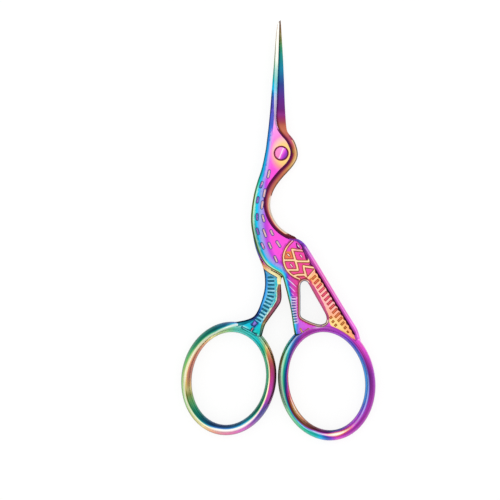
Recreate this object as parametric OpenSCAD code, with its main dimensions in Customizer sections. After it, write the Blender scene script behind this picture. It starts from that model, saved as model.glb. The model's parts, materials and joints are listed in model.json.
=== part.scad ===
// Stork embroidery scissors, closed and lying flat, in millimetres.
// The origin is on the pivot's axis, in the plane that the scissors lie on.
// +Y runs to the tips, +Z is up, and the stork looks to +Y with its belly to -X.
// The front half is the upper casting: one blade, the stork's body, front leg, tail and right bow.
// The back half lies under it: the other blade, the same neck, the rear leg and the left bow.

/* [Blades] */
// Length of the back blade, from the pivot to its tip
blade_len = 29.8; // [24:0.1:38]
// How far the front blade's tip stops short of the back one's
tip_step = 0.5; // [0.2:0.1:1.5]
// Height of each blade's ridge at its root
blade_t = 1.35; // [1:0.05:1.6]
// Height of each blade's ridge at its tip
tip_t = 0.55; // [0.4:0.05:0.9]
// Height that is left at the cutting edge
edge_t = 0.15; // [0.1:0.05:0.3]
// How far the back blade's edge passes under the front one's at the root
edge_lap = 0.6; // [0.3:0.05:0.9]

/* [Body] */
// Thickness of each half where the two cross
half_t = 1.7; // [1.5:0.05:2.2]
// Running gap between the two inner faces
face_gap = 0.05; // [0.02:0.01:0.12]
// Gap between each shoulder and the edge beside it
shoulder_gap = 0.3; // [0.2:0.05:0.5]
// Width of the bevel at each shoulder
shoulder_w = 1.2; // [0.8:0.1:1.6]
// Fall of a bevel for each millimetre of its width
bevel_fall = 0.55; // [0.3:0.05:0.8]

/* [Bows] */
// Inner width of the left bow
left_bow_w = 16.5; // [14:0.1:20]
// Inner height of the left bow
left_bow_h = 20.8; // [18:0.1:26]
// Inner width of the right bow
right_bow_w = 17; // [14:0.1:20]
// Inner height of the right bow
right_bow_h = 22; // [18:0.1:26]
// Width of a bow's band
band_w = 2.35; // [2:0.05:3]
// Thickness of a bow's band
band_t = 3.3; // [2.6:0.05:3.4]
// Lean of each bow towards the middle
bow_lean = 9.5; // [5:0.5:14]
// Distance from the pivot down to the top of the bows
bow_drop = 37.6; // [37.2:0.1:38]
// Gap between the closed bows
bow_gap = 0.3; // [0.2:0.05:0.8]

/* [Pivot] */
// Diameter of the screw's head
head_d = 3; // [2.6:0.1:3.4]
// Height of the screw's head
head_h = 0.75; // [0.5:0.05:0.9]
// Gap round the screw's head
head_gap = 0.2; // [0.1:0.05:0.3]
// Gap under the screw's head
seat_gap = 0.02; // [0.01:0.01:0.05]
// Diameter of the screw's shank
shank_d = 1.8; // [1.4:0.1:2.2]
// Running clearance of the shank in the front half, on the radius
shank_gap = 0.04; // [0.02:0.01:0.08]
// Width of the screwdriver slot
slot_w = 0.35; // [0.25:0.05:0.5]
// Depth of the screwdriver slot
slot_depth = 0.35; // [0.2:0.05:0.45]
// Direction of the screwdriver slot
slot_angle = 67; // [0:1:180]

/* [Ornament] */
// Width of each feather dash
dash_w = 0.55; // [0.4:0.05:0.7]
// Depth of the dashes, ribs and wing cells
relief = 0.3; // [0.15:0.05:0.45]
// Number of ribs down the tail
tail_ribs = 14; // [8:1:16]
// Number of ribs down the rear leg
rear_leg_ribs = 13; // [8:1:14]
// Number of ribs down the front leg
front_leg_ribs = 10; // [6:1:12]
// Length of the longest tail rib
tail_rib_len = 1.4; // [1:0.1:1.7]

/* [Hidden] */
$fn = 64;
eps = 0.5; // how far a cut runs past the metal

// Distance from the pivot to where the blades start
blade_root = 6;
// Drop from an inner face to the far side of a leg or tail
deep = half_t + face_gap;
// Points between two chosen points of an outline
curve_steps = 3;
// Stations round a bow and corners of its section
bow_stations = 72;
band_sides = 12;

// Each row of an edge is a point of the outline, the width of the bevel there, and how much
// of the bevel is blade grind: 1 falls to the cutting edge and 0 falls by bevel_fall.
// Blade rows give the height as a share of the blade, from its root to its tip.
front_spine = [
    [-0.62, 1, 0.08, 0], [-0.92, 0.95, 0.1, 0], [-1.25, 0.82, 0.16, 0], [-1.65, 0.58, 0.28, 0],
    [-2.05, 0.38, 0.6, 0], [-2.45, 0.16, 0.9, 0]];
front_edge = [
    [-0.4, 1, 0.25, 1], [-0.5, 0.85, 0.6, 1], [-0.65, 0.63, 0.7, 1], [-0.8, 0.45, 0.72, 1],
    [-0.95, 0.25, 0.62, 1], [-1.1, 0.13, 0.5, 1]];
back_spine = [
    [-0.12, 1, 0.08, 0], [0.07, 0.89, 0.12, 0], [0.25, 0.76, 0.2, 0], [0.45, 0.62, 0.3, 0],
    [0.63, 0.44, 0.5, 0], [0.8, 0.24, 0.78, 0], [0.97, 0.1, 0.95, 0]];
// Width of the back blade's grind, at the same shares as front_edge
back_grind = [0.3, 0.8, 1.2, 1.42, 1.6, 1.65];

// Throat, belly and front leg of the front half, down to the right bow
front_belly = [
    [-2.8, 6.1, 1.05, 0], [-3.17, 3, 0.9, 0], [-3.5, 0.6, 0.9, 0], [-4.3, -3.2, 1.1, 0],
    [-5.2, -6, 1.2, 0], [-5.95, -8.6, 1.2, 0], [-6.5, -11.6, 1.2, 0], [-6.75, -14.6, 1.2, 0],
    [-6.55, -17, 1.15, 0], [-6, -19.4, 1.1, 0], [-5.3, -21.6, 1, 0], [-4.4, -23.4, 0.9, 0],
    [-3.3, -24.9, 0.75, 0], [-1.95, -25.9, 0.6, 0], [-0.6, -26.65, 0.5, 0], [0.2, -27.4, 0.4, 0],
    [0.6, -28.5, 0.33, 0], [1.4, -31.6, 0.33, 0], [2.2, -35.2, 0.33, 0], [2.7, -38.6, 0.33, 0]];
// Crown, nape, back and tail of the front half
front_nape = [
    [-1.05, 7.4, 0.45, 0.9], [-0.83, 6.2, 0.4, 0.6], [-0.38, 5.1, 0.35, 0.2], [0.45, 4, 0.35, 0],
    [1.3, 3, 0.35, 0], [1.95, 1.85, 0.35, 0], [2.37, 0.6, 0.35, 0], [2.3, -0.6, 0.35, 0],
    [1.85, -1.7, 0.35, 0], [1.07, -2.7, 0.35, 0], [-0.1, -3.85, 0.35, 0], [-1.27, -5.2, 0.35, 0],
    [-2.3, -6.6, 0.35, 0], [-3.1, -8.2, 0.35, 0], [-3.55, -9.9, 0.35, 0], [-3.62, -11.6, 0.35, 0],
    [-3.3, -13.2, 0.35, 0], [-2.6, -14.9, 0.35, 0], [-1.6, -16.4, 0.35, 0], [-0.3, -17.65, 0.35, 0],
    [1, -18.5, 0.35, 0], [2.3, -19, 0.4, 0]];
front_tail = [
    [3.6, -19.1, 0.5, 0], [4.75, -19.75, 0.8, 0], [5.7, -20.8, 1.1, 0], [6.95, -22.75, 1.2, 0],
    [8.65, -25.5, 1.2, 0], [10.9, -29.25, 1.2, 0], [13.1, -32.9, 1.2, 0], [15.3, -36.5, 1.2, 0],
    [17.05, -39.4, 1.2, 0.4]];

// Crown, nape and hidden end of the back half's body, down to the fork
back_nape = [
    [1.13, 6.3, 1, 0], [1.36, 5, 0.95, 0], [1.96, 4.1, 0.85, 0], [2.7, 3.2, 0.8, 0],
    [3.3, 1.96, 0.8, 0], [3.66, 0.6, 0.8, 0], [3.7, -0.5, 0.8, 0], [3.35, -1.65, 0.8, 0],
    [2.5, -2.95, 0.8, 0], [1.4, -4.2, 0.8, 0], [0.3, -5.4, 0.8, 0], [-0.7, -6.65, 0.75, 0],
    [-1.55, -8, 0.7, 0], [-2.1, -9.4, 0.7, 0], [-2.4, -10.9, 0.7, 0], [-2.35, -12.5, 0.7, 0],
    [-1.75, -14.3, 0.7, 0], [-0.7, -16, 0.7, 0], [0.74, -17.3, 0.7, 0], [2.2, -18.2, 0.6, 0]];
back_rump = [
    [3.3, -18.8, 0.4, 0], [3.85, -20.2, 0.35, 0], [3.8, -22.2, 0.35, 0], [3.05, -24.2, 0.35, 0],
    [1.75, -26, 0.35, 0], [0.5, -27.3, 0.35, 0], [-0.05, -28.6, 0.35, 0]];
// Throat and belly of the back half, hidden down to where they show beside the front half
back_belly = [
    [-2.05, 6.1, 0.9, 0.6], [-2.7, 4.6, 0.8, 0.2], [-3.1, 3, 0.85, 0], [-3.35, 0.6, 0.9, 0],
    [-4.15, -3.2, 1.1, 0], [-5.05, -6, 1.2, 0], [-5.8, -8.6, 1.2, 0], [-6.35, -11.6, 1.2, 0],
    [-6.6, -14.6, 1.2, 0], [-6.45, -17, 1.15, 0], [-6.15, -19.2, 1.1, 0], [-5.6, -21.5, 1, 0],
    [-4.8, -23.6, 0.9, 0]];
// The rear leg's two edges, from the shoulder and the fork to the left bow
rear_leg_left = [
    [-4.15, -25.2, 0.67, 0], [-3.75, -26.8, 0.67, 0], [-3.6, -28.7, 0.67, 0], [-3.7, -30.3, 0.67, 0],
    [-4.05, -31.9, 0.67, 0], [-4.55, -33.5, 0.67, 0], [-5.2, -35.1, 0.67, 0], [-6.1, -36.4, 0.67, 0],
    [-7.5, -37.1, 0.8, 0.1], [-9.2, -37.5, 1, 0.5]];
rear_leg_right = [
    [0, -30.1, 0.9, 0], [0.1, -31.85, 1, 0], [-0.1, -33.2, 1, 0], [-0.9, -34.5, 0.95, 0],
    [-1.9, -35.9, 0.9, 0], [-3, -37.4, 0.85, 0], [-3.7, -38.6, 0.8, 0]];

// The opening between the front leg and the tail
window = [
    [4.3, -29.5], [4.75, -28.65], [5.5, -28.55], [6.15, -29.15], [7.8, -32.1], [9.45, -35],
    [10.15, -36.6], [9.95, -37.8], [8.8, -38.25], [7.1, -37.85], [5.1, -36.95], [4.35, -36.2],
    [4.3, -34.5], [4.3, -32]];
window_bevel = 0.55;

// Feather dashes on the neck and body, each from its upper end to its lower end
dashes = [
    [[-4.25, -6.5], [-4.6, -7.5]], [[-5.15, -9.9], [-5.35, -10.9]], [[-5.35, -13.65], [-5.35, -14.75]],
    [[-5.4, -16.9], [-5.1, -17.95]], [[-4.4, -20.15], [-3.95, -21.15]], [[-2.65, -3.95], [-2.95, -5.3]],
    [[-3.6, -8.2], [-3.9, -9.6]], [[-4.15, -10.85], [-4.35, -12.2]], [[-4.15, -13.9], [-3.85, -15.1]],
    [[-3.95, -17.1], [-3.45, -18.5]], [[-2.75, -20.1], [-2.3, -21.1]], [[-1.45, -23.1], [-1, -24.15]],
    [[-2.3, -17.3], [-1.9, -18.1]], [[-0.95, -19.75], [-0.3, -20.75]]];

// Line round the folded wing, the cells between its raised bars, and a raised seed in some of them
wing_line = [
    [2.3, -19.4], [1.6, -20.1], [1, -20.9], [0.55, -21.8], [0.3, -22.8], [0.3, -23.8], [0.45, -24.8],
    [0.85, -25.8], [1.5, -26.7], [2.3, -27.4], [3.2, -27.95], [3.85, -28.2]];
wing_line_w = 0.2;
wing_cells = [
    [[2.35, -19.75], [3, -19.85], [3.1, -20.9], [2.3, -21.05], [1.9, -21.75], [1.25, -21.7], [1.6, -20.7]],
    [[3.3, -20], [3.9, -20.15], [4.5, -20.9], [4.15, -21.25], [3.5, -21.05]],
    [[1.05, -22], [2.2, -21.95], [2.7, -23.35], [0.75, -23.35]],
    [[3.1, -22.15], [4.9, -22.15], [5.2, -23.7], [3.5, -23.7]],
    [[0.85, -24.3], [3, -24.3], [3.35, -25.75], [1.4, -25.75]],
    [[3.65, -24.45], [4.75, -24.45], [4.65, -25.3], [5.1, -26.8], [3.95, -26.8]],
    [[1.9, -26.35], [3.55, -26.35], [3.6, -26.9], [2.85, -27.2]],
    [[5.6, -25.9], [6.95, -25.9], [6.05, -27.3]],
    [[4.7, -21.35], [5.05, -21.3], [5.5, -22.3], [6, -23.3], [5.8, -23.8], [5.5, -23.5], [5.1, -22.1]],
    [[6.35, -23.7], [6.8, -24.4], [7.3, -25.25], [6.3, -24.85], [6.5, -24.4]]];
wing_seeds = [
    [[3.6, -20.4], [4, -20.9]], [[1.4, -22.45], [1.85, -22.9]], [[4.25, -22.7], [4.65, -23.2]],
    [[2.05, -24.75], [2.5, -25.35]]];
seed_w = 0.3;

// First and last centres of the tail's ribs, the run in which they shorten, and their tilt
tail_rib_first = [7.3, -27.7];
tail_rib_last = [14.85, -39.85];
tail_rib_taper = 0.35;
tail_rib_tilt = 44;
rib_w = 0.45;
// Short pockets beside the lower ribs, and their length
tail_side_pockets = [[11.1, -36.65], [11.55, -37.55], [12.15, -38.35]];
side_pocket_len = 0.6;
// Toothed groove between the tail's ribs and its bevel: its ends, its two depths into the
// ribs' side and its reach over the bevel
tooth_first = [7.55, -26];
tooth_last = [16.35, -40.56];
tooth_in = [0, 0.24];
tooth_out = 0.2;
// Centre line of the rear leg's ribs and their length
rear_ribs = [[-2.3, -27.7], [-2.25, -30.2], [-2.45, -32.2], [-3.4, -34.3], [-4.65, -36.3], [-5.15, -37.1]];
rear_rib_len = 1.6;
// Centre line of the front leg's ribs
front_ribs = [[2.85, -32.2], [2.85, -34.6], [3.15, -37.6]];
front_rib_len = 1;
front_rib_w = 0.28;
// Slanting lines on the thigh above them, each from its upper end to its lower end
thigh_lines = [[[1.1, -27.75], [3.35, -29.85]], [[1.55, -29.35], [3.15, -30.95]], [[1.95, -30.85], [2.85, -31.75]]];
thigh_line_w = 0.2;
// The stork's toes where each leg stands on its bow
right_toes = [[[3.7, -40.8], [6.1, -39.2]], [[4.3, -39.2], [4.75, -40.05]]];
left_toes = [[[-8.6, -38.9], [-5.6, -40.55]], [[-6.3, -39], [-6.8, -39.85]]];
toe_w = 0.3;

// Number at share t of the way from a to b
function between(a, b, t) = a + (b - a) * t;
// The list from its last item to its first
function reversed(list) = [for (i = [len(list) - 1:-1:0]) list[i]];
// Point at share t between items b and c of a curve whose neighbours are a and d
function bend(a, b, c, d, t) =
    0.5 * (2 * b + (c - a) * t + (2 * a - 5 * b + 4 * c - d) * t * t + (3 * b - a - 3 * c + d) * t * t * t);
// Open curve through the rows of a list
function curve(rows) = let (last = len(rows) - 1) [
    for (i = [0:last - 1], k = [0:curve_steps - 1])
        bend(rows[max(i - 1, 0)], rows[i], rows[i + 1], rows[min(i + 2, last)], k / curve_steps),
    rows[last]];
// Closed curve through the rows of a list
function loop_curve(rows) = let (n = len(rows)) [
    for (i = [0:n - 1], k = [0:curve_steps - 1])
        bend(rows[(i + n - 1) % n], rows[i], rows[(i + 1) % n], rows[(i + 2) % n], k / curve_steps)];
function flat(rows) = [for (r = rows) [r[0], r[1]]];
// Unit vector to the left of the path at point i
function left_of(path, i, closed = false) =
    let (n = len(path),
         a = path[closed ? (i + n - 1) % n : max(i - 1, 0)],
         b = path[closed ? (i + 1) % n : min(i + 1, n - 1)],
         d = [b[0] - a[0], b[1] - a[1]])
    [-d[1], d[0]] / norm(d);
// The path moved sideways, to its left where by is positive
function beside(path, by) = [for (i = [0:len(path) - 1]) [path[i][0], path[i][1]] + left_of(path, i) * by];

// The path, begun earlier by a straight stretch
function led_in(path, by) = concat([path[0] + (path[0] - path[1]) / norm(path[0] - path[1]) * by], path);
// The rows, carried on by a straight stretch with the last row's bevel
function led_out(rows, by) = let (z = rows[len(rows) - 1], y = rows[len(rows) - 2],
    d = [z[0] - y[0], z[1] - y[1]] / norm([z[0] - y[0], z[1] - y[1]]) * by)
    concat(rows, [[z[0] + d[0], z[1] + d[1], z[2], z[3]]]);

// Blade rows with their shares turned into heights above the pivot
function on_blade(rows, tip) = [for (r = rows) [r[0], between(blade_root, tip, r[1]), r[2], r[3]]];
front_tip = blade_len - tip_step;
// The back blade's cutting edge, which passes under the front blade's by a share of edge_lap
back_edge = [for (i = [0:len(front_edge) - 1]) let (r = front_edge[i], n = len(front_edge) - 1)
    [r[0] - edge_lap * between(0.45, 1, i / n), r[1], back_grind[i], 1]];

// Bows: half widths and heights of the inner and outer ovals, and centres from the shared gap
// side is -1 on the left and 1 on the right
function bow_inner(side) = (side < 0 ? [left_bow_w, left_bow_h] : [right_bow_w, right_bow_h]) / 2;
function bow_outer(side) = bow_inner(side) + [band_w, band_w];
function bow_reach(side) = let (o = bow_outer(side), c = cos(bow_lean), s = sin(bow_lean))
    [norm([o[0] * c, o[1] * s]), norm([o[1] * c, o[0] * s])];
bow_middle = -0.88;
function bow_centre(side) = let (reach = bow_reach(side))
    [bow_middle + side * (bow_gap / 2 + reach[0]), -bow_drop - reach[1]];
// Point of a bow at angle t, from its inner oval (share 0) to its outer one (share 1)
function bow_point(side, t, share) =
    let (o = bow_inner(side) + share * [band_w, band_w], lean = side * bow_lean,
         x = o[0] * cos(t), y = o[1] * sin(t))
    bow_centre(side) + [x * cos(lean) - y * sin(lean), x * sin(lean) + y * cos(lean)];
// The angles on each bow between which a leg or tail ends in it
left_root = [96, 57];
right_root = [120, 33];
// The last row of an edge, just inside a bow's outer oval
function root_row(side, t, w, grind) = let (p = bow_point(side, t, 0.95)) [p[0], p[1], w, grind];
// The end of a leg or tail, which sinks to the crest of the band between its two edges
function root_end(side, root) = [for (i = [1:7])
    bow_point(side, between(root[0], root[1], i / 8), 0.5 + 0.4 * pow(abs(i / 4 - 1), 3))];

front_left = curve(concat(
    on_blade(front_spine, front_tip), front_belly, [root_row(1, right_root[0], 0.4, 0.3)]));
front_right = curve(concat(
    on_blade(front_edge, front_tip), front_nape, front_tail, [root_row(1, right_root[1], 1.1, 0.95)]));
back_right = curve(concat(
    on_blade(back_spine, blade_len), back_nape, back_rump, rear_leg_right,
    [root_row(-1, left_root[1], 0.6, 0.3)]));
back_left = curve(concat(
    on_blade(back_edge, front_tip), back_belly, rear_leg_left, [root_row(-1, left_root[0], 1.1, 0.95)]));

// A closed skin over sections of equal count, turned outwards
module loft(sections, closed = false, flip = false) {
    m = len(sections[0]);
    n = len(sections);
    spans = closed ? n : n - 1;
    sides = [for (j = [0:spans - 1], k = [0:m - 1])
        let (a = j * m + k, b = j * m + (k + 1) % m, c = ((j + 1) % n) * m + (k + 1) % m, d = ((j + 1) % n) * m + k)
        each [[a, b, c], [a, c, d]]];
    ends = closed ? [] : [
        for (k = [1:m - 2]) [0, k + 1, k],
        for (k = [1:m - 2]) [(n - 1) * m, (n - 1) * m + k, (n - 1) * m + k + 1]];
    faces = concat(sides, ends);
    polyhedron([for (s = sections) each s], flip ? [for (f = faces) reversed(f)] : faces);
}

// Height of a blade's ridge, level on the body and falling to the tip
function ridge(y) = y < blade_root ? half_t
    : let (t = (y - blade_root) / (blade_len - blade_root))
      t < 0.12 ? between(half_t, blade_t, t / 0.12) : between(blade_t, tip_t, (t - 0.12) / 0.88);

// The metal that a bevel takes off along an edge. top is the face's height, or 0 on a half
// with blades, where it follows the ridge. side is 1 where the metal lies left of the path.
// An open edge's bevel runs on into the bow that the edge ends in.
module bevel(edge, side, top = 0, closed = false, past = eps) {
    over = 0.25; // how far the cutter reaches past the inner line of the bevel
    rows = closed ? edge : led_out(edge, band_w / 2);
    sections = [for (i = [0:len(rows) - 1])
        let (r = rows[i], n = side * left_of(rows, i, closed), p = [r[0], r[1]], w = max(r[2], 0.05),
             high = top == 0 ? ridge(r[1]) : top,
             low = between(high - bevel_fall * w, edge_t, r[3]),
             slope = (high - low) / w,
             a = p + n * (w + over), b = p - n * past,
             za = high + over * slope, zb = low - past * slope)
        [[a[0], a[1], za], [b[0], b[1], zb], [b[0], b[1], za + 1]]];
    loft(sections, closed, side < 0);
}

module bow(side) {
    sections = [for (i = [0:bow_stations - 1])
        let (t = 360 * i / bow_stations, a = bow_point(side, t, 0), b = bow_point(side, t, 1),
             middle = (a + b) / 2, half = (b - a) / 2)
        [for (k = [0:band_sides - 1]) let (u = 360 * k / band_sides)
            [each (middle + half * cos(u)), band_t / 2 * sin(u)]]];
    loft(sections, closed = true);
}

module front_outline() polygon(concat(
    flat(front_left), root_end(1, right_root), flat(reversed(front_right))));
module back_outline() polygon(concat(
    flat(back_left), root_end(-1, left_root), flat(reversed(back_right))));
module window_outline() polygon(flat(loop_curve(window)));

// Each half's shoulder, which keeps its gap from the hidden edge of the other half
front_shoulder = led_in(beside(curve(back_rump), shoulder_gap), 1);
back_shoulder = beside(curve([for (r = front_belly) if (r[1] < -22.5 && r[1] > -30) r]), -shoulder_gap);

// The part of each outline that has the full thickness, beyond its shoulder
clear_x = 12; // beside both halves
clear_y = 40; // beyond the tips
tail_root = -17.4; // where the front half's shoulder leaves the nape
fork = [-0.4, -30]; // below the crossing
shoulder_rise = 6; // points of the path in which a shoulder rises
module front_deep_outline() difference() {
    front_outline();
    polygon(concat([[clear_x, clear_y], [clear_x, tail_root]], front_shoulder,
        [fork, [-clear_x, fork[1]], [-clear_x, clear_y]]));
}
module back_deep_outline() difference() {
    back_outline();
    polygon(concat([[clear_x, clear_y], [-clear_x, clear_y], [-clear_x, back_shoulder[0][1]]],
        back_shoulder, [[clear_x, fork[1]]]));
}

// Tapers a blade from its root to its tip
module blade_taper() {
    root_end = between(blade_root, blade_len, 0.12);
    rotate([90, 0, 90]) translate([0, 0, -6]) linear_extrude(12) polygon([
        [blade_root, half_t], [root_end, blade_t], [blade_len, tip_t], [blade_len + 1, tip_t],
        [blade_len + 1, half_t + 1], [blade_root, half_t + 1]]);
}

// Outline of a bar of width w with round ends, between points a and b
function bar(a, b, w) = let (turn = atan2(b[1] - a[1], b[0] - a[0])) [
    for (k = [0:5]) b + w / 2 * [cos(turn - 90 + 36 * k), sin(turn - 90 + 36 * k)],
    for (k = [0:5]) a + w / 2 * [cos(turn + 90 + 36 * k), sin(turn + 90 + 36 * k)]];
// What is cut from an outer face over a flat shape
module sink(depth = relief) translate([0, 0, half_t - depth]) linear_extrude(depth + eps) children();
// A rib's pocket, square ended, centred on a point and lying at an angle
module pocket(centre, turn, long, w) {
    sink() translate(centre) rotate(turn) square([long, w], center = true);
}

module feather_dashes() for (d = dashes) sink() polygon(bar(d[0], d[1], dash_w));
module wing() {
    for (cell = wing_cells) sink() difference() {
        polygon(cell);
        for (s = wing_seeds) polygon(bar(s[0], s[1], seed_w));
    }
    line = curve(wing_line);
    sink(relief / 2) polygon(concat(beside(line, wing_line_w / 2), reversed(beside(line, -wing_line_w / 2))));
}
module tail_rib_pockets() {
    for (i = [0:tail_ribs - 1]) {
        t = i / (tail_ribs - 1);
        long = tail_rib_len * min(1, (t + 0.25) / 0.3, (1 - t) / tail_rib_taper + 0.25);
        pocket(between(tail_rib_first, tail_rib_last, t), tail_rib_tilt, long, rib_w);
    }
    for (c = tail_side_pockets) pocket(c, tail_rib_tilt, side_pocket_len, rib_w);
}
// One tooth beside each rib
module tail_teeth() {
    along = (tooth_last - tooth_first) / norm(tooth_last - tooth_first);
    inwards = [along[1], -along[0]];
    steps = 2 * tail_ribs;
    sink() polygon(concat(
        [tooth_first - inwards * tooth_out, tooth_last - inwards * tooth_out],
        [for (i = [steps:-1:0]) between(tooth_first, tooth_last, i / steps) + inwards * tooth_in[i % 2]]));
}
module thigh_grooves() for (l = thigh_lines) sink(relief / 2) polygon(bar(l[0], l[1], thigh_line_w));
// Distance along a line up to each of its points
function run(line, i) = i == 0 ? 0 : run(line, i - 1) + norm(line[i] - line[i - 1]);
// Pockets set square to a centre line, evenly along it
module ribs_along(rows, count, long, w) {
    line = curve(rows);
    last = len(line) - 1;
    runs = [for (i = [0:last]) run(line, i)];
    for (i = [0:count - 1]) {
        at = runs[last] * i / (count - 1);
        j = max([for (k = [0:last - 1]) if (runs[k] <= at) k]);
        step = line[j + 1] - line[j];
        pocket(line[j] + step * (at - runs[j]) / norm(step), atan2(step[1], step[0]) + 90, long, w);
    }
}

// Turns what is made on an outer face onto the inner side of a leg or tail
module other_side() translate([0, 0, -face_gap]) mirror([0, 0, 1]) children();

module front_leg_detail() {
    ribs_along(front_ribs, front_leg_ribs, front_rib_len, front_rib_w);
    thigh_grooves();
    for (t = right_toes) sink() polygon(bar(t[0], t[1], toe_w));
    tail_rib_pockets();
    tail_teeth();
}
module rear_leg_detail() {
    ribs_along(rear_ribs, rear_leg_ribs, rear_rib_len, rib_w);
    for (t = left_toes) sink() polygon(bar(t[0], t[1], toe_w));
}

// The edges that are bevelled on both sides
front_tail_edge = [for (r = front_right) if (r[1] < -19) r];
front_leg_edge = [for (r = front_left) if (r[1] < -28) r];
rear_leg_edge = [for (r = back_left) if (r[1] < -25) r];
rear_fork_edge = [for (r = back_right) if (r[1] < -28.5) r];
window_edge = [for (p = loop_curve(window)) [p[0], p[1], window_bevel, 0]];

// The bevel along a shoulder, where a leg or tail rises to its full thickness. It starts low.
module shoulder_bevel(path, side) {
    bevel([for (i = [0:len(path) - 1]) [path[i][0], path[i][1], shoulder_w, max(0, 1 - i / shoulder_rise)]],
        side, half_t, past = 0.05);
}

// Each half is made with its inner face at height 0 and its outer face up
module front_casting() {
    difference() {
        union() {
            linear_extrude(half_t) front_outline();
            translate([0, 0, -deep]) linear_extrude(deep) front_deep_outline();
        }
        bevel(front_left, 1);
        bevel(front_right, -1);
        blade_taper();
        other_side() {
            bevel(front_tail_edge, -1, half_t);
            bevel(front_leg_edge, 1, half_t);
            shoulder_bevel(front_shoulder, 1);
        }
    }
    translate([0, 0, -face_gap / 2]) bow(1);
}
module back_casting() {
    difference() {
        union() {
            linear_extrude(half_t) back_outline();
            translate([0, 0, -deep]) linear_extrude(deep) back_deep_outline();
        }
        bevel(back_left, 1);
        bevel(back_right, -1);
        blade_taper();
        other_side() {
            bevel(rear_leg_edge, 1, half_t);
            bevel(rear_fork_edge, -1, half_t);
            shoulder_bevel(led_in(back_shoulder, 1), -1);
        }
    }
    translate([0, 0, -face_gap / 2]) bow(-1);
}

module front_half() color("mediumorchid") translate([0, 0, half_t + face_gap]) difference() {
    front_casting();
    translate([0, 0, -deep - eps]) linear_extrude(deep + half_t + 2 * eps) window_outline();
    bevel(window_edge, 1, half_t, closed = true);
    other_side() {
        bevel(window_edge, 1, half_t, closed = true);
        front_leg_detail();
    }
    feather_dashes();
    wing();
    front_leg_detail();
    translate([0, 0, -eps]) cylinder(h = half_t + 2 * eps, d = shank_d + 2 * shank_gap);
    translate([0, 0, half_t - head_h - seat_gap]) cylinder(h = head_h + seat_gap + eps, d = head_d + 2 * head_gap);
}

module back_half() color("lightseagreen") translate([0, 0, half_t]) mirror([0, 0, 1]) difference() {
    back_casting();
    other_side() rear_leg_detail();
    feather_dashes();
    rear_leg_detail();
    translate([0, 0, -eps]) cylinder(h = half_t + 2 * eps, d = shank_d);
}

module pivot_screw() color("palevioletred") difference() {
    union() {
        cylinder(h = half_t + face_gap + half_t - head_h, d = shank_d);
        translate([0, 0, 2 * half_t + face_gap - head_h]) cylinder(h = head_h, d = head_d);
    }
    translate([0, 0, 2 * half_t + face_gap - slot_depth]) rotate(slot_angle)
        translate([-head_d, -slot_w / 2, 0]) cube([2 * head_d, slot_w, slot_depth + eps]);
}

front_half();
back_half();
pivot_screw();
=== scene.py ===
import json
import math

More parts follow.
